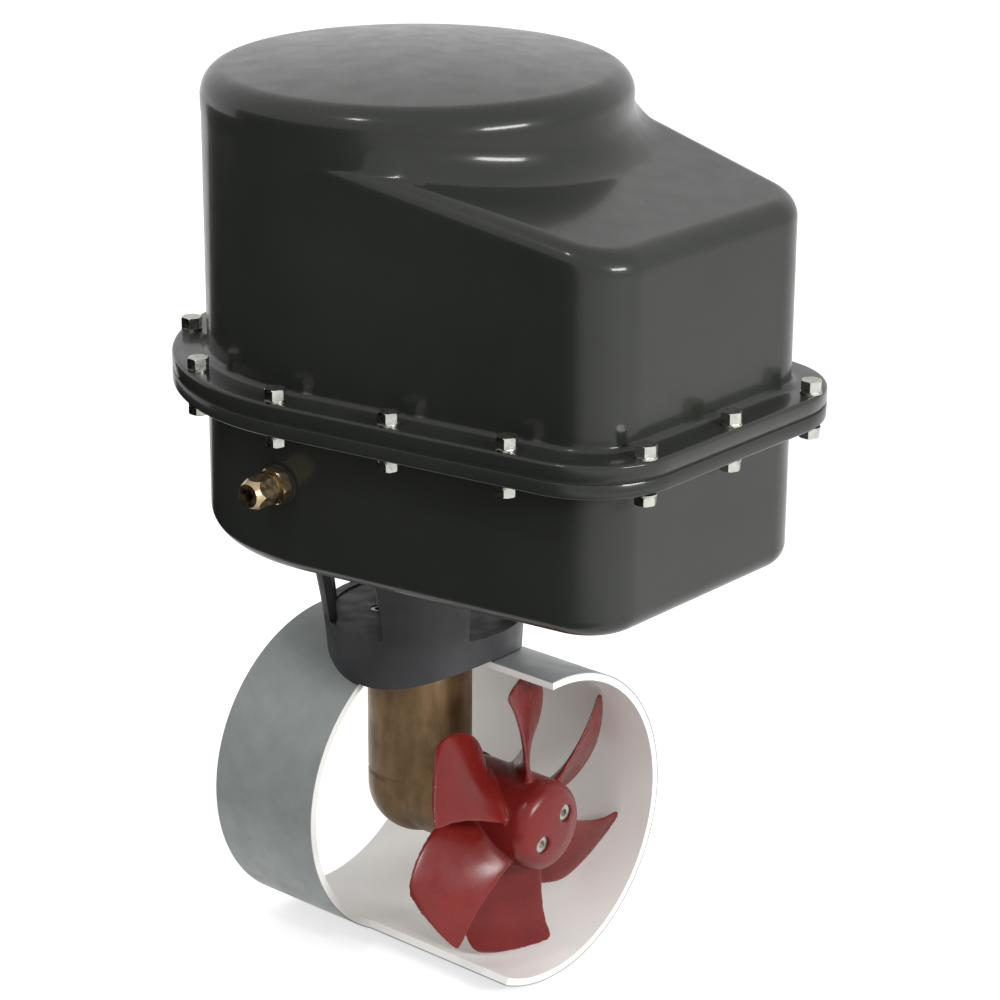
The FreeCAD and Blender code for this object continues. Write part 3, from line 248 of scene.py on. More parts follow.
# ---- Housing's plan ------------------------------------------------------------------------------
side_normal = np.array((math.sin(side_taper), math.cos(side_taper)))
corner_x = wall_end - corner_radius
corner_y = (wall_radius - corner_radius - side_normal[0] * corner_x) / side_normal[1]
corner_centre = np.array((corner_x, corner_y))


def compass(angle):
    """A direction in plan."""
    return np.array((math.cos(angle), math.sin(angle)))


def plan_outline():
    """Points and outward normals round the wall, from above, closed and evenly spaced."""
    turn = math.pi / 2 - side_taper
    round_end = [(wall_radius * compass(a), compass(a))
                 for a in np.linspace(turn, 2 * math.pi - turn, round_end_steps)]
    far = [(corner_centre + corner_radius * compass(a), compass(a))
           for a in np.linspace(0, turn, corner_steps)]
    near = [(point * (1, -1), normal * (1, -1)) for point, normal in far[::-1]]
    path = round_end + near + far
    points = np.array([point for point, _ in path] + [path[0][0]])
    normals = np.array([normal for _, normal in path] + [path[0][1]])
    travel = np.concatenate(((0,), np.cumsum(np.linalg.norm(np.diff(points, axis=0), axis=1))))
    stops = np.linspace(0, travel[-1], outline_steps, endpoint=False)
    even = np.stack([np.interp(stops, travel, points[:, i]) for i in (0, 1)], axis=1)
    facing = np.stack([np.interp(stops, travel, normals[:, i]) for i in (0, 1)], axis=1)
    return even, facing / np.linalg.norm(facing, axis=1)[:, None]


def plan_distance(x, y):
    """Signed distance to the wall line in plan, and the direction straight out of it."""
    flip = np.where(y < 0, -1.0, 1.0)
    side = np.abs(y)
    radial = np.hypot(x, side) + 1e-12
    behind = x * side_normal[1] - side * side_normal[0] < 0
    from_side = x * side_normal[0] + side * side_normal[1] - wall_radius
    from_end = x - wall_end
    cx, cy = x - corner_centre[0], side - corner_centre[1]
    cornered = (side_normal[0] * cy - side_normal[1] * cx <= 0) & (cy >= 0)
    reach = np.hypot(cx, cy) + 1e-12
    on_end = from_end > from_side
    distance = np.where(cornered, reach - corner_radius, np.maximum(from_side, from_end))
    nx = np.where(cornered, cx / reach, np.where(on_end, 1.0, side_normal[0]))
    ny = np.where(cornered, cy / reach, np.where(on_end, 0.0, side_normal[1]))
    distance = np.where(behind, radial - wall_radius, distance)
    nx = np.where(behind, x / radial, nx)
    ny = np.where(behind, side / radial, ny)
    return distance, nx, ny * flip


def rounded(beside, above, radius):
    """Distance to an edge of that radius between two faces, and how far it faces each."""
    a, b = np.maximum(beside + radius, 0), np.maximum(above + radius, 0)
    reach = np.hypot(a, b)
    distance = np.minimum(np.maximum(beside, above) + radius, 0) + reach - radius
    flat = reach < 1e-9
    share_a = np.where(flat, (beside > above) * 1.0, a / np.maximum(reach, 1e-9))
    share_b = np.where(flat, (beside <= above) * 1.0, b / np.maximum(reach, 1e-9))
    return distance, share_a, share_b


def cover_distance(points, inset):
    """Signed distance to the cover's dome and sloped box end.

    With no inset they join in a hollow fillet, and with one the surface lies that far inside.
    """
    x, y, z = points[..., 0], points[..., 1], points[..., 2]
    radial = np.hypot(x, y) + 1e-12
    top = dome_edge + dome_crown * (1 - (radial / wall_radius) ** 2)
    dome, out, up = rounded(radial - wall_radius, z - top, dome_edge_radius)
    dome_normal = (out * x / radial, out * y / radial, up)
    plan, nx, ny = plan_distance(x, y)
    roof = z - (dome_edge - slope_drop - slope_fall * np.maximum(x, slope_start))
    steep = math.hypot(1, slope_fall)
    box, out, up = rounded(plan, roof / steep, slope_edge_radius)
    box_normal = (out * nx + up * slope_fall / steep, out * ny, up / steep)
    if inset:
        return np.minimum(dome, box) + inset
    along = sum(a * b for a, b in zip(dome_normal, box_normal))
    radius = crease_radius * np.clip(1 - along, 0, 1)
    hollow = np.hypot(np.maximum(radius - dome, 0), np.maximum(radius - box, 0))
    return np.maximum(radius, np.minimum(dome, box)) - hollow


def cast(origin, directions, inset):
    """Where rays from inside the cover reach its surface."""
    near = np.zeros(directions.shape[:-1])
    far = np.full(directions.shape[:-1], 2 * wall_end)
    for _ in range(ray_halvings):
        middle = (near + far) / 2
        inside = cover_distance(origin + directions * middle[..., None], inset) < 0
        near = np.where(inside, middle, near)
        far = np.where(inside, far, middle)
    return origin + directions * near[..., None]


def roof_points(outline, base, inset, rows):
    """Rows of points up the cover's wall and over its roof, closer together on its edges."""
    origin = np.array((0, 0, cover_seam + ray_origin_z * (cover_high.z - cover_seam)))
    plan = outline / np.linalg.norm(outline, axis=1)[:, None]
    low = np.arctan2(base - origin[2], np.linalg.norm(outline, axis=1))
    share = np.linspace(0, 1, ray_samples)[:, None]

    def rays(pitch):
        level = np.cos(pitch)
        return np.stack([level * plan[:, 0], level * plan[:, 1], np.sin(pitch)], axis=-1)

    pitch = low[None, :] + (math.pi / 2 - ray_top_gap - low[None, :]) * share
    path = cast(origin, rays(pitch), inset)
    step = np.diff(path, axis=0)
    length = np.linalg.norm(step, axis=-1) + 1e-12
    heading = step / length[..., None]
    bend = np.arccos(np.clip((heading[1:] * heading[:-1]).sum(-1), -1, 1))
    cost = length / row_length
    cost[1:] += bend / row_bend
    travel = np.concatenate((np.zeros((1, len(outline))), np.cumsum(cost, axis=0)))
    goal = np.linspace(0, 1, rows)
    spread = np.stack([np.interp(goal * travel[-1, i], travel[:, i], pitch[:, i])
                       for i in range(len(outline))], axis=1)
    return cast(origin, rays(spread), inset)


def wall_rows(outline, normals, section):
    """One row of points round the housing for each (offset, height) of a section."""
    return [np.column_stack((outline + normals * offset, np.full(len(outline), height)))
            for offset, height in section]


def lip_section(seam, away):
    """The flange from its seam face round its lip to the foot of its wall. away is 1 for up."""
    face = seam + away * flange_thickness
    section = [(flange_width - edge_gap, seam), (flange_width, seam + away * edge_gap)]
    section += [(flange_width - lip_radius * (1 - math.cos(a)),
                 face - away * lip_radius * (1 - math.sin(a))) for a in arc(0, 90, 6)]
    section += [(flange_width * lip_row_share, face), (foot_radius + row_gap, face)]
    section += [(foot_radius * (1 - math.sin(a)), face + away * foot_radius * (1 - math.cos(a)))
                for a in arc(0, 90, 7)]
    return section


def skin(name, rows, capped):
    """A closed mesh through rows of points. Its ends close on middle points, or on each other."""
    columns = len(rows[0])
    points = np.concatenate(rows)
    faces = ring_faces(len(rows), columns)
    if capped:
        last = (len(rows) - 1) * columns
        for first, middle, order in ((0, len(points), -1), (last, len(points) + 1, 1)):
            for column in range(columns):
                edge = (first + column, first + (column + 1) % columns, middle)
                faces.append(edge[::order])
        points = np.concatenate((points, (rows[0].mean(axis=0), rows[-1].mean(axis=0))))
    else:
        faces += closing_faces(len(rows), columns)
    return closed_mesh(name, points, faces)


def cover_shell(outline, normals):
    """The motor's cover: flange, wall, dome and sloped end, hollow and as thick as its wall."""
    section = lip_section(cover_seam, 1)
    start = section[-1][1] + row_gap
    outer = wall_rows(outline, normals, section)
    roof = roof_points(outline, start, 0.0, roof_rows)
    inner_roof = roof_points(outline - normals * wall, start, wall, roof_rows_inside)
    bottom = wall_rows(outline, normals, [(-wall, cover_seam), (-wall + edge_gap, cover_seam)])
    rows = list(inner_roof[::-1]) + bottom + outer + list(roof)
    return skin("cover_shell", rows, True)


def pan_shell(outline, normals):
    """The pan: flange, wall with a round lower edge and a floor open for the motor's shaft."""
    floor_z = pan_low.z
    inner_radius = pan_edge_radius - wall
    outer = lip_section(pan_seam, -1)
    outer += [(0.0, (pan_seam + floor_z) / 2)]
    outer += [(-pan_edge_radius * (1 - math.cos(a)), floor_z + pan_edge_radius * (1 - math.sin(a)))
              for a in arc(0, 90, pan_edge_steps[0])]
    inner = [(-wall - inner_radius * (1 - math.cos(a)),
              floor_z + wall + inner_radius * (1 - math.sin(a)))
             for a in arc(90, 0, pan_edge_steps[1])]
    inner += [(-wall, pan_seam), (-wall + edge_gap, pan_seam)]
    rim = outline / np.linalg.norm(outline, axis=1)[:, None] * shaft_hole_radius
    below = np.column_stack((rim, np.full(len(rim), floor_z)))
    above = np.column_stack((rim, np.full(len(rim), floor_z + wall)))
    outer_rows = wall_rows(outline, normals, outer)
    inner_rows = wall_rows(outline, normals, inner)
    under = [outer_rows[-1] * (1 - s) + below * s for s in under_shares]
    over = [above * (1 - s) + inner_rows[0] * s for s in over_shares]
    return skin("pan_shell", outer_rows + under + [below, above] + over + inner_rows, False)


# ---- Propeller -----------------------------------------------------------------------------------
def between(pair, share, bow=0.0):
    """A value between two, bowed to the low side halfway."""
    return pair[0] + (pair[1] - pair[0]) * share - bow * share * (1 - share)


def blade_section(radius, steps):
    """A closed ring of points round a blade at one radius, on its cylinder about the X axis."""
    share = (radius - hub_radius) / (tip_radius - hub_radius)
    inner = min(max(share, 0.0), 1.0)
    lead = between(lead_angles, share, lead_bow)
    trail = between(trail_angles, share, trail_bow)
    near_tip = min(max(1 - (tip_radius - radius) / tip_corner, 0.0), 1.0)
    inset = tip_corner * (1 - math.sqrt(1 - near_tip ** 2)) / radius
    lead, trail = lead + inset, trail - inset
    lead_x = hub_low.x + between(lead_places, share)
    trail_x = hub_low.x + between(trail_places, share)
    thickness = between((root_thickness, tip_thickness), inner)
    thickness += root_flare * math.exp(-max(radius - hub_radius, 0) / flare_reach)
    start = np.array((lead_x, -radius * lead))
    end = np.array((trail_x, -radius * trail))
    chord = end - start
    across = np.array((chord[1], -chord[0])) / np.linalg.norm(chord)
    ring = []
    for i in range(2 * steps):
        turn = math.pi * i / steps
        along = (1 - math.cos(turn)) / 2
        side = 1 if i < steps else -1
        belly = math.sqrt(max(4 * along * (1 - along), 0)) ** belly_fullness
        half = thickness * (edge_thickness + belly_thickness * belly)
        x, arc_length = start + chord * along + across * side * half
        angle = -arc_length / radius
        ring.append((x, angle, radius))
    return ring


def turned_point(x, angle, radius):
    """A point at an angle about the X axis, from +Y towards +Z."""
    return x, radius * math.cos(angle), radius * math.sin(angle)


def blade(number):
    """Points and faces of one closed blade, from inside the hub to its tip."""
    turn = blade_turn + 2 * math.pi * number / blade_count
    at_root, along, at_tip = blade_rings
    tip = 1 - np.linspace(0, 1, at_tip)[1:] ** tip_ring_power
    radii = np.concatenate((
        np.linspace(hub_radius - root_depth, hub_radius + root_top, at_root),
        np.linspace(hub_radius + root_top + root_ring_gap, tip_radius - tip_corner, along),
        tip_radius - tip_corner * tip))
    rings = [blade_section(radius, blade_steps) for radius in radii]
    points = [turned_point(x, turn + angle, radius) for ring in rings for x, angle, radius in ring]
    columns = 2 * blade_steps
    faces = ring_faces(len(rings), columns)
    last = (len(rings) - 1) * columns
    faces.append(tuple(range(columns))[::-1])
    faces.append(tuple(range(last, last + columns)))
    return points, faces


def hub():
    """Points and faces of the hub: a drum with a round front edge and a pocket behind."""
    front = hub_high.x
    face = front - hub_dome
    nose = cap_nose_radius + pocket_gap
    profile = [(hub_low.x, nose), (hub_low.x, hub_radius)]
    profile += [(face - hub_edge_radius * (1 - math.sin(a)),
                 hub_radius - hub_edge_radius * (1 - math.cos(a)))
                for a in arc(0, hub_edge_end, hub_edge_steps)]
    profile += [(front - hub_dome * (r / hub_face_radius) ** 2 * hub_face_share, r)
                for r in hub_face_radii]
    profile += [(front, point_radius), (shaft_front, point_radius),
                (shaft_front, flange_pocket_radius),
                (cap_front + pocket_depth, flange_pocket_radius), (cap_front + pocket_depth, nose)]
    points = [turned_point(x, 2 * math.pi * i / hub_columns, radius)
              for x, radius in profile for i in range(hub_columns)]
    faces = ring_faces(len(profile), hub_columns) + closing_faces(len(profile), hub_columns)
    return points, faces


def well(number):
    """A cutter for one screw's well in the hub's front."""
    low, high = screws_front - screw_well_depth, hub_high.x + screw_well_rise
    _, y, z = turned_point(0, screw_turn + math.pi * number, screw_circle)
    cutter = bmesh.new()
    bmesh.ops.create_cone(cutter, cap_ends=True, segments=screw_well_sides,
                          radius1=screw_well_radius, radius2=screw_well_radius, depth=high - low,
                          matrix=Matrix.Rotation(math.pi / 2, 4, "Y"))
    mesh = bpy.data.meshes.new("well")
    cutter.to_mesh(mesh)
    cutter.free()
    piece = add_object("well", mesh)
    piece.location = ((low + high) / 2, y, z)
    return piece


def propeller_mesh():
    """Hub and blades as one skin with soft roots and edges."""
    drum = closed_mesh("drum", *hub())
    for number in (0, 1):
        cutter = well(number)
        cut = drum.modifiers.new("well", "BOOLEAN")
        cut.object = cutter
        cut.operation = "DIFFERENCE"
        cut.solver = "EXACT"
        apply_modifiers(drum)
        bpy.data.objects.remove(cutter)
    points = [tuple(vertex.co) for vertex in drum.data.vertices]
    faces = [tuple(face.vertices) for face in drum.data.polygons]
    bpy.data.objects.remove(drum)
    for number in range(blade_count):
        one = closed_mesh("blade", *blade(number))
        shift = len(points)
        points += [tuple(vertex.co) for vertex in one.data.vertices]
        faces += [tuple(shift + i for i in face.vertices) for face in one.data.polygons]
        bpy.data.objects.remove(one)
    piece = add_mesh("propeller_skin", points, faces)
    remesh = piece.modifiers.new("skin", "REMESH")
    remesh.mode = "VOXEL"
    remesh.voxel_size = propeller_voxel
    ease = piece.modifiers.new("ease", "SMOOTH")
    ease.factor = 0.5
    ease.iterations = propeller_smoothing
    apply_modifiers(piece)
    piece.data.shade_smooth()
    return piece


# ---- Materials -----------------------------------------------------------------------------------
paint_depth = (0.0009, 0.0005)     # the tunnel's paint fades in between these depths in its wall
turned_grain = (1.0, 1.0, 14.0)    # how fine the turning marks are along X, Y and Z


class Look:
    """A node material being built: its tree, its shader and the object's own coordinates."""

    def __init__(self, name, colour, roughness, metallic=0.0):
        self.material = bpy.data.materials.new(name)
        self.material.use_nodes = True
        self.tree = self.material.node_tree
        self.shader = self.tree.nodes["Principled BSDF"]
        self.set(self.shader, "Base Color", (*colour, 1))
        self.set(self.shader, "Roughness", roughness)
        self.set(self.shader, "Metallic", metallic)
        self.place = self.add("ShaderNodeTexCoord").outputs["Object"]
        self.heights = []

    def add(self, kind, **settings):
        node = self.tree.nodes.new(kind)
        for key, value in settings.items():
            setattr(node, key, value)
        return node

    def set(self, node, socket, value):
        node.inputs[socket].default_value = value

    def join(self, source, target):
        self.tree.links.new(source, target)

    def feed(self, socket, value):
        """Set a socket to a number, or link it to an output."""
        if isinstance(value, float):
            socket.default_value = value
        else:
            self.join(value, socket)

    def stretched(self, scale):
        """The object's coordinates, scaled along each axis."""
        mapping = self.add("ShaderNodeMapping")
        self.set(mapping, "Scale", scale)
        self.join(self.place, mapping.inputs["Vector"])
        return mapping.outputs["Vector"]

    def noise(self, scale, detail=3.0, rough=0.55, place=None):
        node = self.add("ShaderNodeTexNoise")
        self.set(node, "Scale", scale)
        self.set(node, "Detail", detail)
        self.set(node, "Roughness", rough)
        self.join(place or self.place, node.inputs["Vector"])
        return node.outputs["Fac"]

    def ramp(self, value, *stops):
        node = self.add("ShaderNodeValToRGB")
        elements = node.color_ramp.elements
        while len(elements) < len(stops):
            elements.new(0.5)
        for element, (position, colour) in zip(elements, stops):
            element.position = position
            element.color = (*colour, 1)
        self.join(value, node.inputs["Fac"])
        return node.outputs["Color"]

    def range(self, value, low, high, from_low=0.3, from_high=0.7):
        node = self.add("ShaderNodeMapRange")
        for socket, number in (("From Min", from_low), ("From Max", from_high),
                               ("To Min", low), ("To Max", high)):
            self.set(node, socket, number)
        self.join(value, node.inputs["Value"])
        return node.outputs["Result"]

    def mix(self, share, first, second):
        node = self.add("ShaderNodeMix", data_type="RGBA")
        self.feed(node.inputs["Factor"], share)
        self.feed(node.inputs[6], first)
        self.feed(node.inputs[7], second)
        return node.outputs[2]

    def math(self, kind, first, second=0.0):
        node = self.add("ShaderNodeMath", operation=kind)
        for index, value in enumerate((first, second)):
            self.feed(node.inputs[index], value)
        return node.outputs[0]

    def colour(self, output):
        self.join(output, self.shader.inputs["Base Color"])

    def roughness(self, output):
        self.join(output, self.shader.inputs["Roughness"])

    def bump(self, height, strength, distance):
        """Another layer of surface relief over those already there."""
        node = self.add("ShaderNodeBump")
        self.set(node, "Strength", strength)
        self.set(node, "Distance", distance)
        self.join(height, node.inputs["Height"])
        if self.heights:
            self.join(self.heights[-1], node.inputs["Normal"])
        self.heights.append(node.outputs["Normal"])
        self.join(node.outputs["Normal"], self.shader.inputs["Normal"])

    def coat(self, weight, roughness):
        self.set(self.shader, "Coat Weight", weight)
        self.set(self.shader, "Coat Roughness", roughness)


def tinted(colour, factor):
    """A colour made darker or paler by a factor."""
    return tuple(c * factor for c in colour)


def gel_coat(name):
    """Glossy dark green-grey gel coat with faint waves and a soft orange peel."""
    look = Look(name, (0.021, 0.023, 0.020), 0.34)
    tone = look.noise(9.0, 4.0)
    look.colour(look.ramp(tone, (0.3, (0.018, 0.020, 0.017)), (0.7, (0.024, 0.026, 0.022))))
    look.roughness(look.range(look.noise(55.0, 5.0), 0.28, 0.4))
    look.set(look.shader, "Specular IOR Level", 0.12)
    look.bump(look.noise(12.0, 1.0), 0.05, 0.0004)
    look.bump(look.noise(420.0, 2.0), 0.04, 0.0002)
    look.coat(0.4, 0.12)
    return look.material


def cast_paint(name):
    """Satin black-grey paint over a sand casting."""
    look = Look(name, (0.040, 0.040, 0.041), 0.5)
    tone = look.noise(30.0, 5.0)
    look.colour(look.ramp(tone, (0.3, (0.032, 0.032, 0.035)), (0.7, (0.050, 0.050, 0.054))))
    look.roughness(look.range(look.noise(90.0, 4.0), 0.42, 0.6))
    look.bump(look.noise(700.0, 4.0, 0.7), 0.25, 0.0004)
    look.bump(look.noise(60.0, 2.0), 0.2, 0.0006)
    return look.material


def dark_paint(name):
    """Smooth black paint."""
    look = Look(name, (0.02, 0.02, 0.022), 0.4)
    tone = look.noise(40.0, 4.0)
    look.colour(look.ramp(tone, (0.3, (0.016, 0.016, 0.018)), (0.7, (0.026, 0.026, 0.028))))
    look.roughness(look.range(look.noise(120.0, 4.0), 0.34, 0.48))
    look.bump(look.noise(500.0, 3.0), 0.12, 0.0003)
    return look.material


def bronze(name):
    """Cast bronze: golden brown metal under a mottled olive-brown patina with runs."""
    look = Look(name, (0.25, 0.16, 0.07), 0.42, 0.55)
    blotch = look.noise(38.0, 6.0, 0.62)
    runs = look.noise(30.0, 5.0, 0.6, look.stretched((2.2, 2.2, 0.5)))
    metal = look.ramp(runs, (0.32, (0.12, 0.072, 0.032)), (0.5, (0.25, 0.152, 0.072)),
                      (0.72, (0.44, 0.29, 0.155)))
    stain = look.ramp(blotch, (0.38, (0.10, 0.072, 0.037)), (0.62, (0.30, 0.19, 0.095)))
    look.colour(look.mix(0.5, metal, stain))
    look.roughness(look.range(blotch, 0.5, 0.3))
    look.bump(look.noise(260.0, 5.0, 0.65), 0.22, 0.0004)
    look.bump(look.noise(45.0, 3.0), 0.2, 0.0008)
    return look.material


def propeller_plastic(name):
    """Dark red moulded plastic with a soft gloss."""
    look = Look(name, (0.155, 0.011, 0.009), 0.28)
    tone = look.noise(26.0, 4.0)
    look.colour(look.ramp(tone, (0.3, (0.125, 0.008, 0.007)), (0.7, (0.185, 0.014, 0.011))))
    look.set(look.shader, "Specular IOR Level", 0.3)
    look.roughness(look.range(look.noise(80.0, 5.0), 0.2, 0.34))
    look.bump(look.noise(48.0, 2.0), 0.12, 0.0005)
    look.bump(look.noise(900.0, 2.0), 0.05, 0.0001)
    return look.material


def laminate(name):
    """A glass-fibre tunnel: grey-green paint outside, cream gel coat inside and on cut edges."""
    look = Look(name, (0.7, 0.68, 0.64), 0.4)
    split = look.add("ShaderNodeSeparateXYZ")
    look.join(look.place, split.inputs["Vector"])
    across, up = split.outputs["Y"], split.outputs["Z"]
    radius = look.math("SQRT", look.math("ADD", look.math("MULTIPLY", across, across),
                                         look.math("MULTIPLY", up, up)))
    outer = tunnel_high.z
    painted = look.range(radius, 0.0, 1.0, outer - paint_depth[0], outer - paint_depth[1])
    cloud = look.noise(14.0, 5.0)
    inside = look.ramp(cloud, (0.3, (0.90, 0.885, 0.85)), (0.7, (0.95, 0.94, 0.915)))
    weave = look.noise(75.0, 4.0, 0.6)
    outside = look.ramp(weave, (0.3, (0.230, 0.255, 0.250)), (0.7, (0.270, 0.295, 0.290)))
    look.colour(look.mix(painted, inside, outside))
    look.roughness(look.range(look.noise(60.0, 4.0), 0.32, 0.5))
    look.bump(look.noise(36.0, 3.0), 0.22, 0.0007)
    look.bump(look.noise(420.0, 3.0), 0.08, 0.0002)
    return look.material


def metal(name, colour, roughness):
    """Machined metal with fine turning marks, handling stains and small nicks."""
    look = Look(name, colour, roughness, 1.0)
    look.colour(look.ramp(look.noise(180.0, 5.0), (0.3, tinted(colour, 0.72)), (0.65, colour)))
    look.roughness(look.range(look.noise(320.0, 4.0), roughness * 0.7, roughness * 1.4))
    look.bump(look.noise(60.0, 4.0, 0.6, look.stretched(turned_grain)), 0.12, 0.0002)
    look.bump(look.noise(900.0, 3.0), 0.1, 0.0001)
    return look.material


def rubber(name, colour):
    """Matte rubber with a fine grain."""
    look = Look(name, colour, 0.75)
    look.colour(look.ramp(look.noise(70.0, 4.0), (0.3, colour), (0.7, tinted(colour, 1.6))))
    look.roughness(look.range(look.noise(200.0, 4.0), 0.65, 0.85))
    look.bump(look.noise(1200.0, 4.0, 0.7), 0.2, 0.0002)
    return look.material


def moulding(name, colour, roughness):
    """Plain moulded or pressed material with a dull surface."""
    look = Look(name, colour, roughness)
    look.colour(look.ramp(look.noise(90.0, 4.0), (0.3, tinted(colour, 0.75)), (0.7, colour)))
    look.roughness(look.range(look.noise(150.0, 4.0), roughness * 0.85, roughness * 1.15))
    look.bump(look.noise(800.0, 3.0), 0.15, 0.0002)
    return look.material


def all_materials():
    """One material for each of the record's slots, by the slot's name."""
    kinds = {
        "housing_gel_coat": (gel_coat,),
        "plinth_paint": (cast_paint,),
        "motor_paint": (dark_paint,),
        "bronze": (bronze,),
        "propeller_plastic": (propeller_plastic,),
        "tunnel_laminate": (laminate,),
        "gasket_rubber": (rubber, (0.012, 0.012, 0.012)),
        "seal_rubber": (rubber, (0.02, 0.02, 0.02)),
        "stainless_steel": (metal, (0.46, 0.46, 0.42), 0.3),
        "bearing_steel": (metal, (0.62, 0.62, 0.63), 0.14),
        "gear_steel": (metal, (0.36, 0.36, 0.37), 0.34),
        "aluminium": (metal, (0.66, 0.66, 0.67), 0.34),
        "gland_brass": (metal, (0.56, 0.43, 0.25), 0.36),
        "copper": (metal, (0.70, 0.32, 0.18), 0.32),
        "magnet": (moulding, (0.07, 0.07, 0.075), 0.6),
        "insulator": (moulding, (0.16, 0.09, 0.05), 0.5),
        "carbon": (moulding, (0.02, 0.02, 0.02), 0.55),
    }
    return {name: kind(name, *values) for name, (kind, *values) in kinds.items()}


def dress(piece, material):
    """Give a piece one material all over."""
    piece.data.materials.clear()
    piece.data.materials.append(material)


# ---- Stage ---------------------------------------------------------------------------------------
def stage_material(piece, colour):
    """A fully matte material on a piece of the stage. Gives its tree and its shader."""
    material = bpy.data.materials.new(piece.name)
    material.use_nodes = True
    shader = material.node_tree.nodes["Principled BSDF"]
    shader.inputs["Base Color"].default_value = colour
    shader.inputs["Roughness"].default_value = 1.0
    shader.inputs["Specular IOR Level"].default_value = 0.0
    dress(piece, material)
    return material.node_tree, shader


def light_path_share(tree):
    """1 for rays from the eye, in mirrors and through glass, 0 for light that falls on things."""
    path = tree.nodes.new("ShaderNodeLightPath")
    share = path.outputs["Is Camera Ray"]
    for other in ("Is Glossy Ray", "Is Transmission Ray"):
        most = tree.nodes.new("ShaderNodeMath")
        most.operation = "MAXIMUM"
        tree.links.new(share, most.inputs[0])
        tree.links.new(path.outputs[other], most.inputs[1])
        share = most.outputs[0]
    return share


def ranged(tree, share, low, high):
    """A value that runs from low to high with a share."""
    node = tree.nodes.new("ShaderNodeMapRange")
    node.inputs["To Min"].default_value = low
    node.inputs["To Max"].default_value = high
    tree.links.new(share, node.inputs["Value"])
    return node.outputs["Result"]


def floor(shade, glow):
    """A wide white floor under the tunnel. glow is the part of its white that needs no light."""
    size, low = floor_half, tunnel_low.z
    corners = [(-size, -size, low), (size, -size, low), (size, size, low), (-size, size, low)]
    piece = add_mesh("floor", corners, [(0, 1, 2, 3)])
    tree, shader = stage_material(piece, (shade, shade, shade, 1))
    shader.inputs["Emission Color"].default_value = (1, 1, 1, 1)
    glow_seen = ranged(tree, light_path_share(tree), 0.0, glow)
    tree.links.new(glow_seen, shader.inputs["Emission Strength"])


def card(name, corners):
    """A black card that only mirrors see, so that a glossy side reflects a dark room."""
    piece = add_mesh(name, corners, [tuple(range(len(corners)))])
    tree, shader = stage_material(piece, card_black)
    split = tree.nodes.new("ShaderNodeSeparateXYZ")
    place = tree.nodes.new("ShaderNodeTexCoord").outputs["Object"]
    tree.links.new(place, split.inputs["Vector"])
    solid = tree.nodes.new("ShaderNodeMapRange")
    solid.interpolation_type = "SMOOTHSTEP"
    for socket, value in zip(("From Min", "From Max", "To Min", "To Max"), (*card_fade, 1.0, 0.0)):
        solid.inputs[socket].default_value = value
    tree.links.new(split.outputs["X"], solid.inputs["Value"])
    tree.links.new(solid.outputs["Result"], shader.inputs["Alpha"])
    piece.visible_camera = False
    piece.visible_diffuse = False
    piece.visible_shadow = False


def world(seen, lit):
    """A white room: seen is its brightness to the eye and in mirrors, lit is the light it gives."""
    room = bpy.data.worlds.new("room")
    bpy.context.scene.world = room
    room.use_nodes = True
    tree = room.node_tree
    background = tree.nodes["Background"]
    background.inputs["Color"].default_value = (1, 1, 1, 1)
    strength = ranged(tree, light_path_share(tree), lit, seen)
    tree.links.new(strength, background.inputs["Strength"])


def lamp(name, side, size, power):
    """A rectangular soft lamp on one side of the object, which faces it."""
    light = bpy.data.lights.new(name, "AREA")
    light.shape = "RECTANGLE"
    light.size, light.size_y = size
    light.energy = power
    piece = add_object(name, light)
    place = lamp_target + lamp_reach * side
    piece.location = place
    piece.rotation_euler = (lamp_target - place).to_track_quat("-Z", "Y").to_euler()


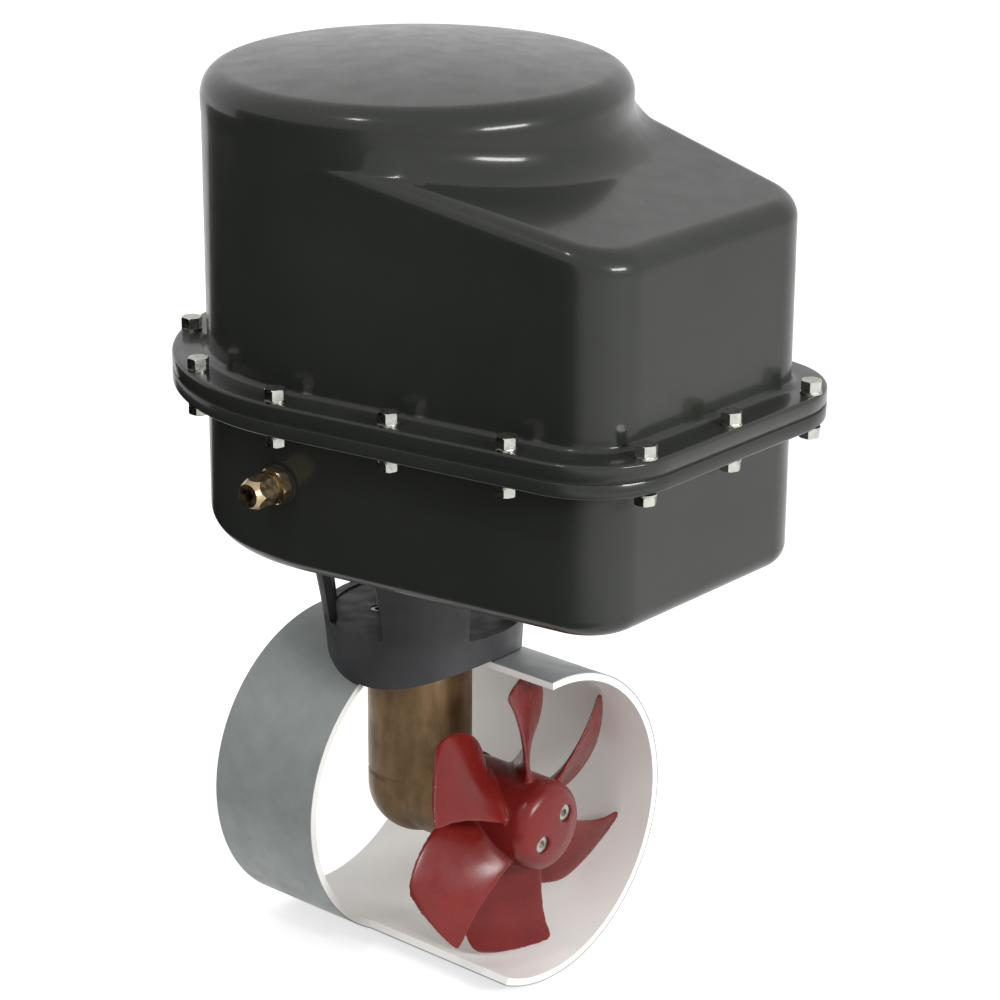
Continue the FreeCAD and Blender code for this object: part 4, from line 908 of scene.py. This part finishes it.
def camera():
    """The camera, aimed by its azimuth, its downward pitch and a slight roll."""
    data = bpy.data.cameras.new("camera")
    data.lens = camera_lens
    data.sensor_width = camera_sensor
    data.clip_end = camera_reach
    piece = add_object("camera", data)
    sin_az, cos_az = math.sin(camera_azimuth), math.cos(camera_azimuth)
    sin_p, cos_p = math.sin(camera_pitch), math.cos(camera_pitch)
    ahead = Vector((-sin_az * cos_p, cos_az * cos_p, -sin_p))
    right = Vector((cos_az, sin_az, 0))
    up = right.cross(ahead)
    across = right * math.cos(camera_roll) + up * math.sin(camera_roll)
    above = up * math.cos(camera_roll) - right * math.sin(camera_roll)
    turn = Matrix((across, above, -ahead)).transposed().to_4x4()
    piece.matrix_world = Matrix.Translation(camera_place) @ turn
    bpy.context.scene.camera = piece


def stage():
    """The floor, the room, the lamps and the camera."""
    floor(floor_shade, floor_glow)
    low = tunnel_low.z + card_gap
    left, right = standing_card
    card("dark_floor", [(x, y, low) for x, y in lying_card])
    card("dark_side", [(*left, low), (*right, low), (*right, card_top), (*left, card_top)])
    world(room_seen, room_lit)
    lamp("key", key_side, key_size, key_power)
    lamp("glint", glint_side, glint_size, glint_power)
    camera()
    bpy.context.scene.view_settings.view_transform = "Standard"


# ---- Making --------------------------------------------------------------------------------------
edge_widths = {"flange_bolts": 0.4, "flange_nuts": 0.35, "gland_cap": 0.4, "gland_body": 0.3,
               "battery_gland_caps": 0.5, "battery_gland_bodies": 0.4}    # in millimetres
sharp_edge = math.radians(35)


def soften_edges():
    """Narrow bevels on the sharp edges of CAD pieces, so that they catch the light."""
    for name, width in edge_widths.items():
        bevel = frame["nodes"][name].modifiers.new("edges", "BEVEL")
        bevel.width = width * MM
        bevel.segments = 2
        bevel.limit_method = "ANGLE"
        bevel.angle_limit = sharp_edge


def make():
    """Dress every piece, make the new ones and set the stage."""
    looks = all_materials()
    for part in frame["record"]["subparts"]:
        dress(frame["nodes"][part["node"]], looks[part["material_slot"]])
    outline, normals = plan_outline()
    shells = ((cover_shell(outline, normals), "housing_cover"),
              (pan_shell(outline, normals), "housing_pan"))
    for piece, node in shells:
        dress(piece, looks["housing_gel_coat"])
        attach(piece, "root")
        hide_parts(node)
    screw = propeller_mesh()
    dress(screw, looks["propeller_plastic"])
    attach(screw, "propeller_drive")
    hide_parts("propeller")
    soften_edges()
    stage()


make()
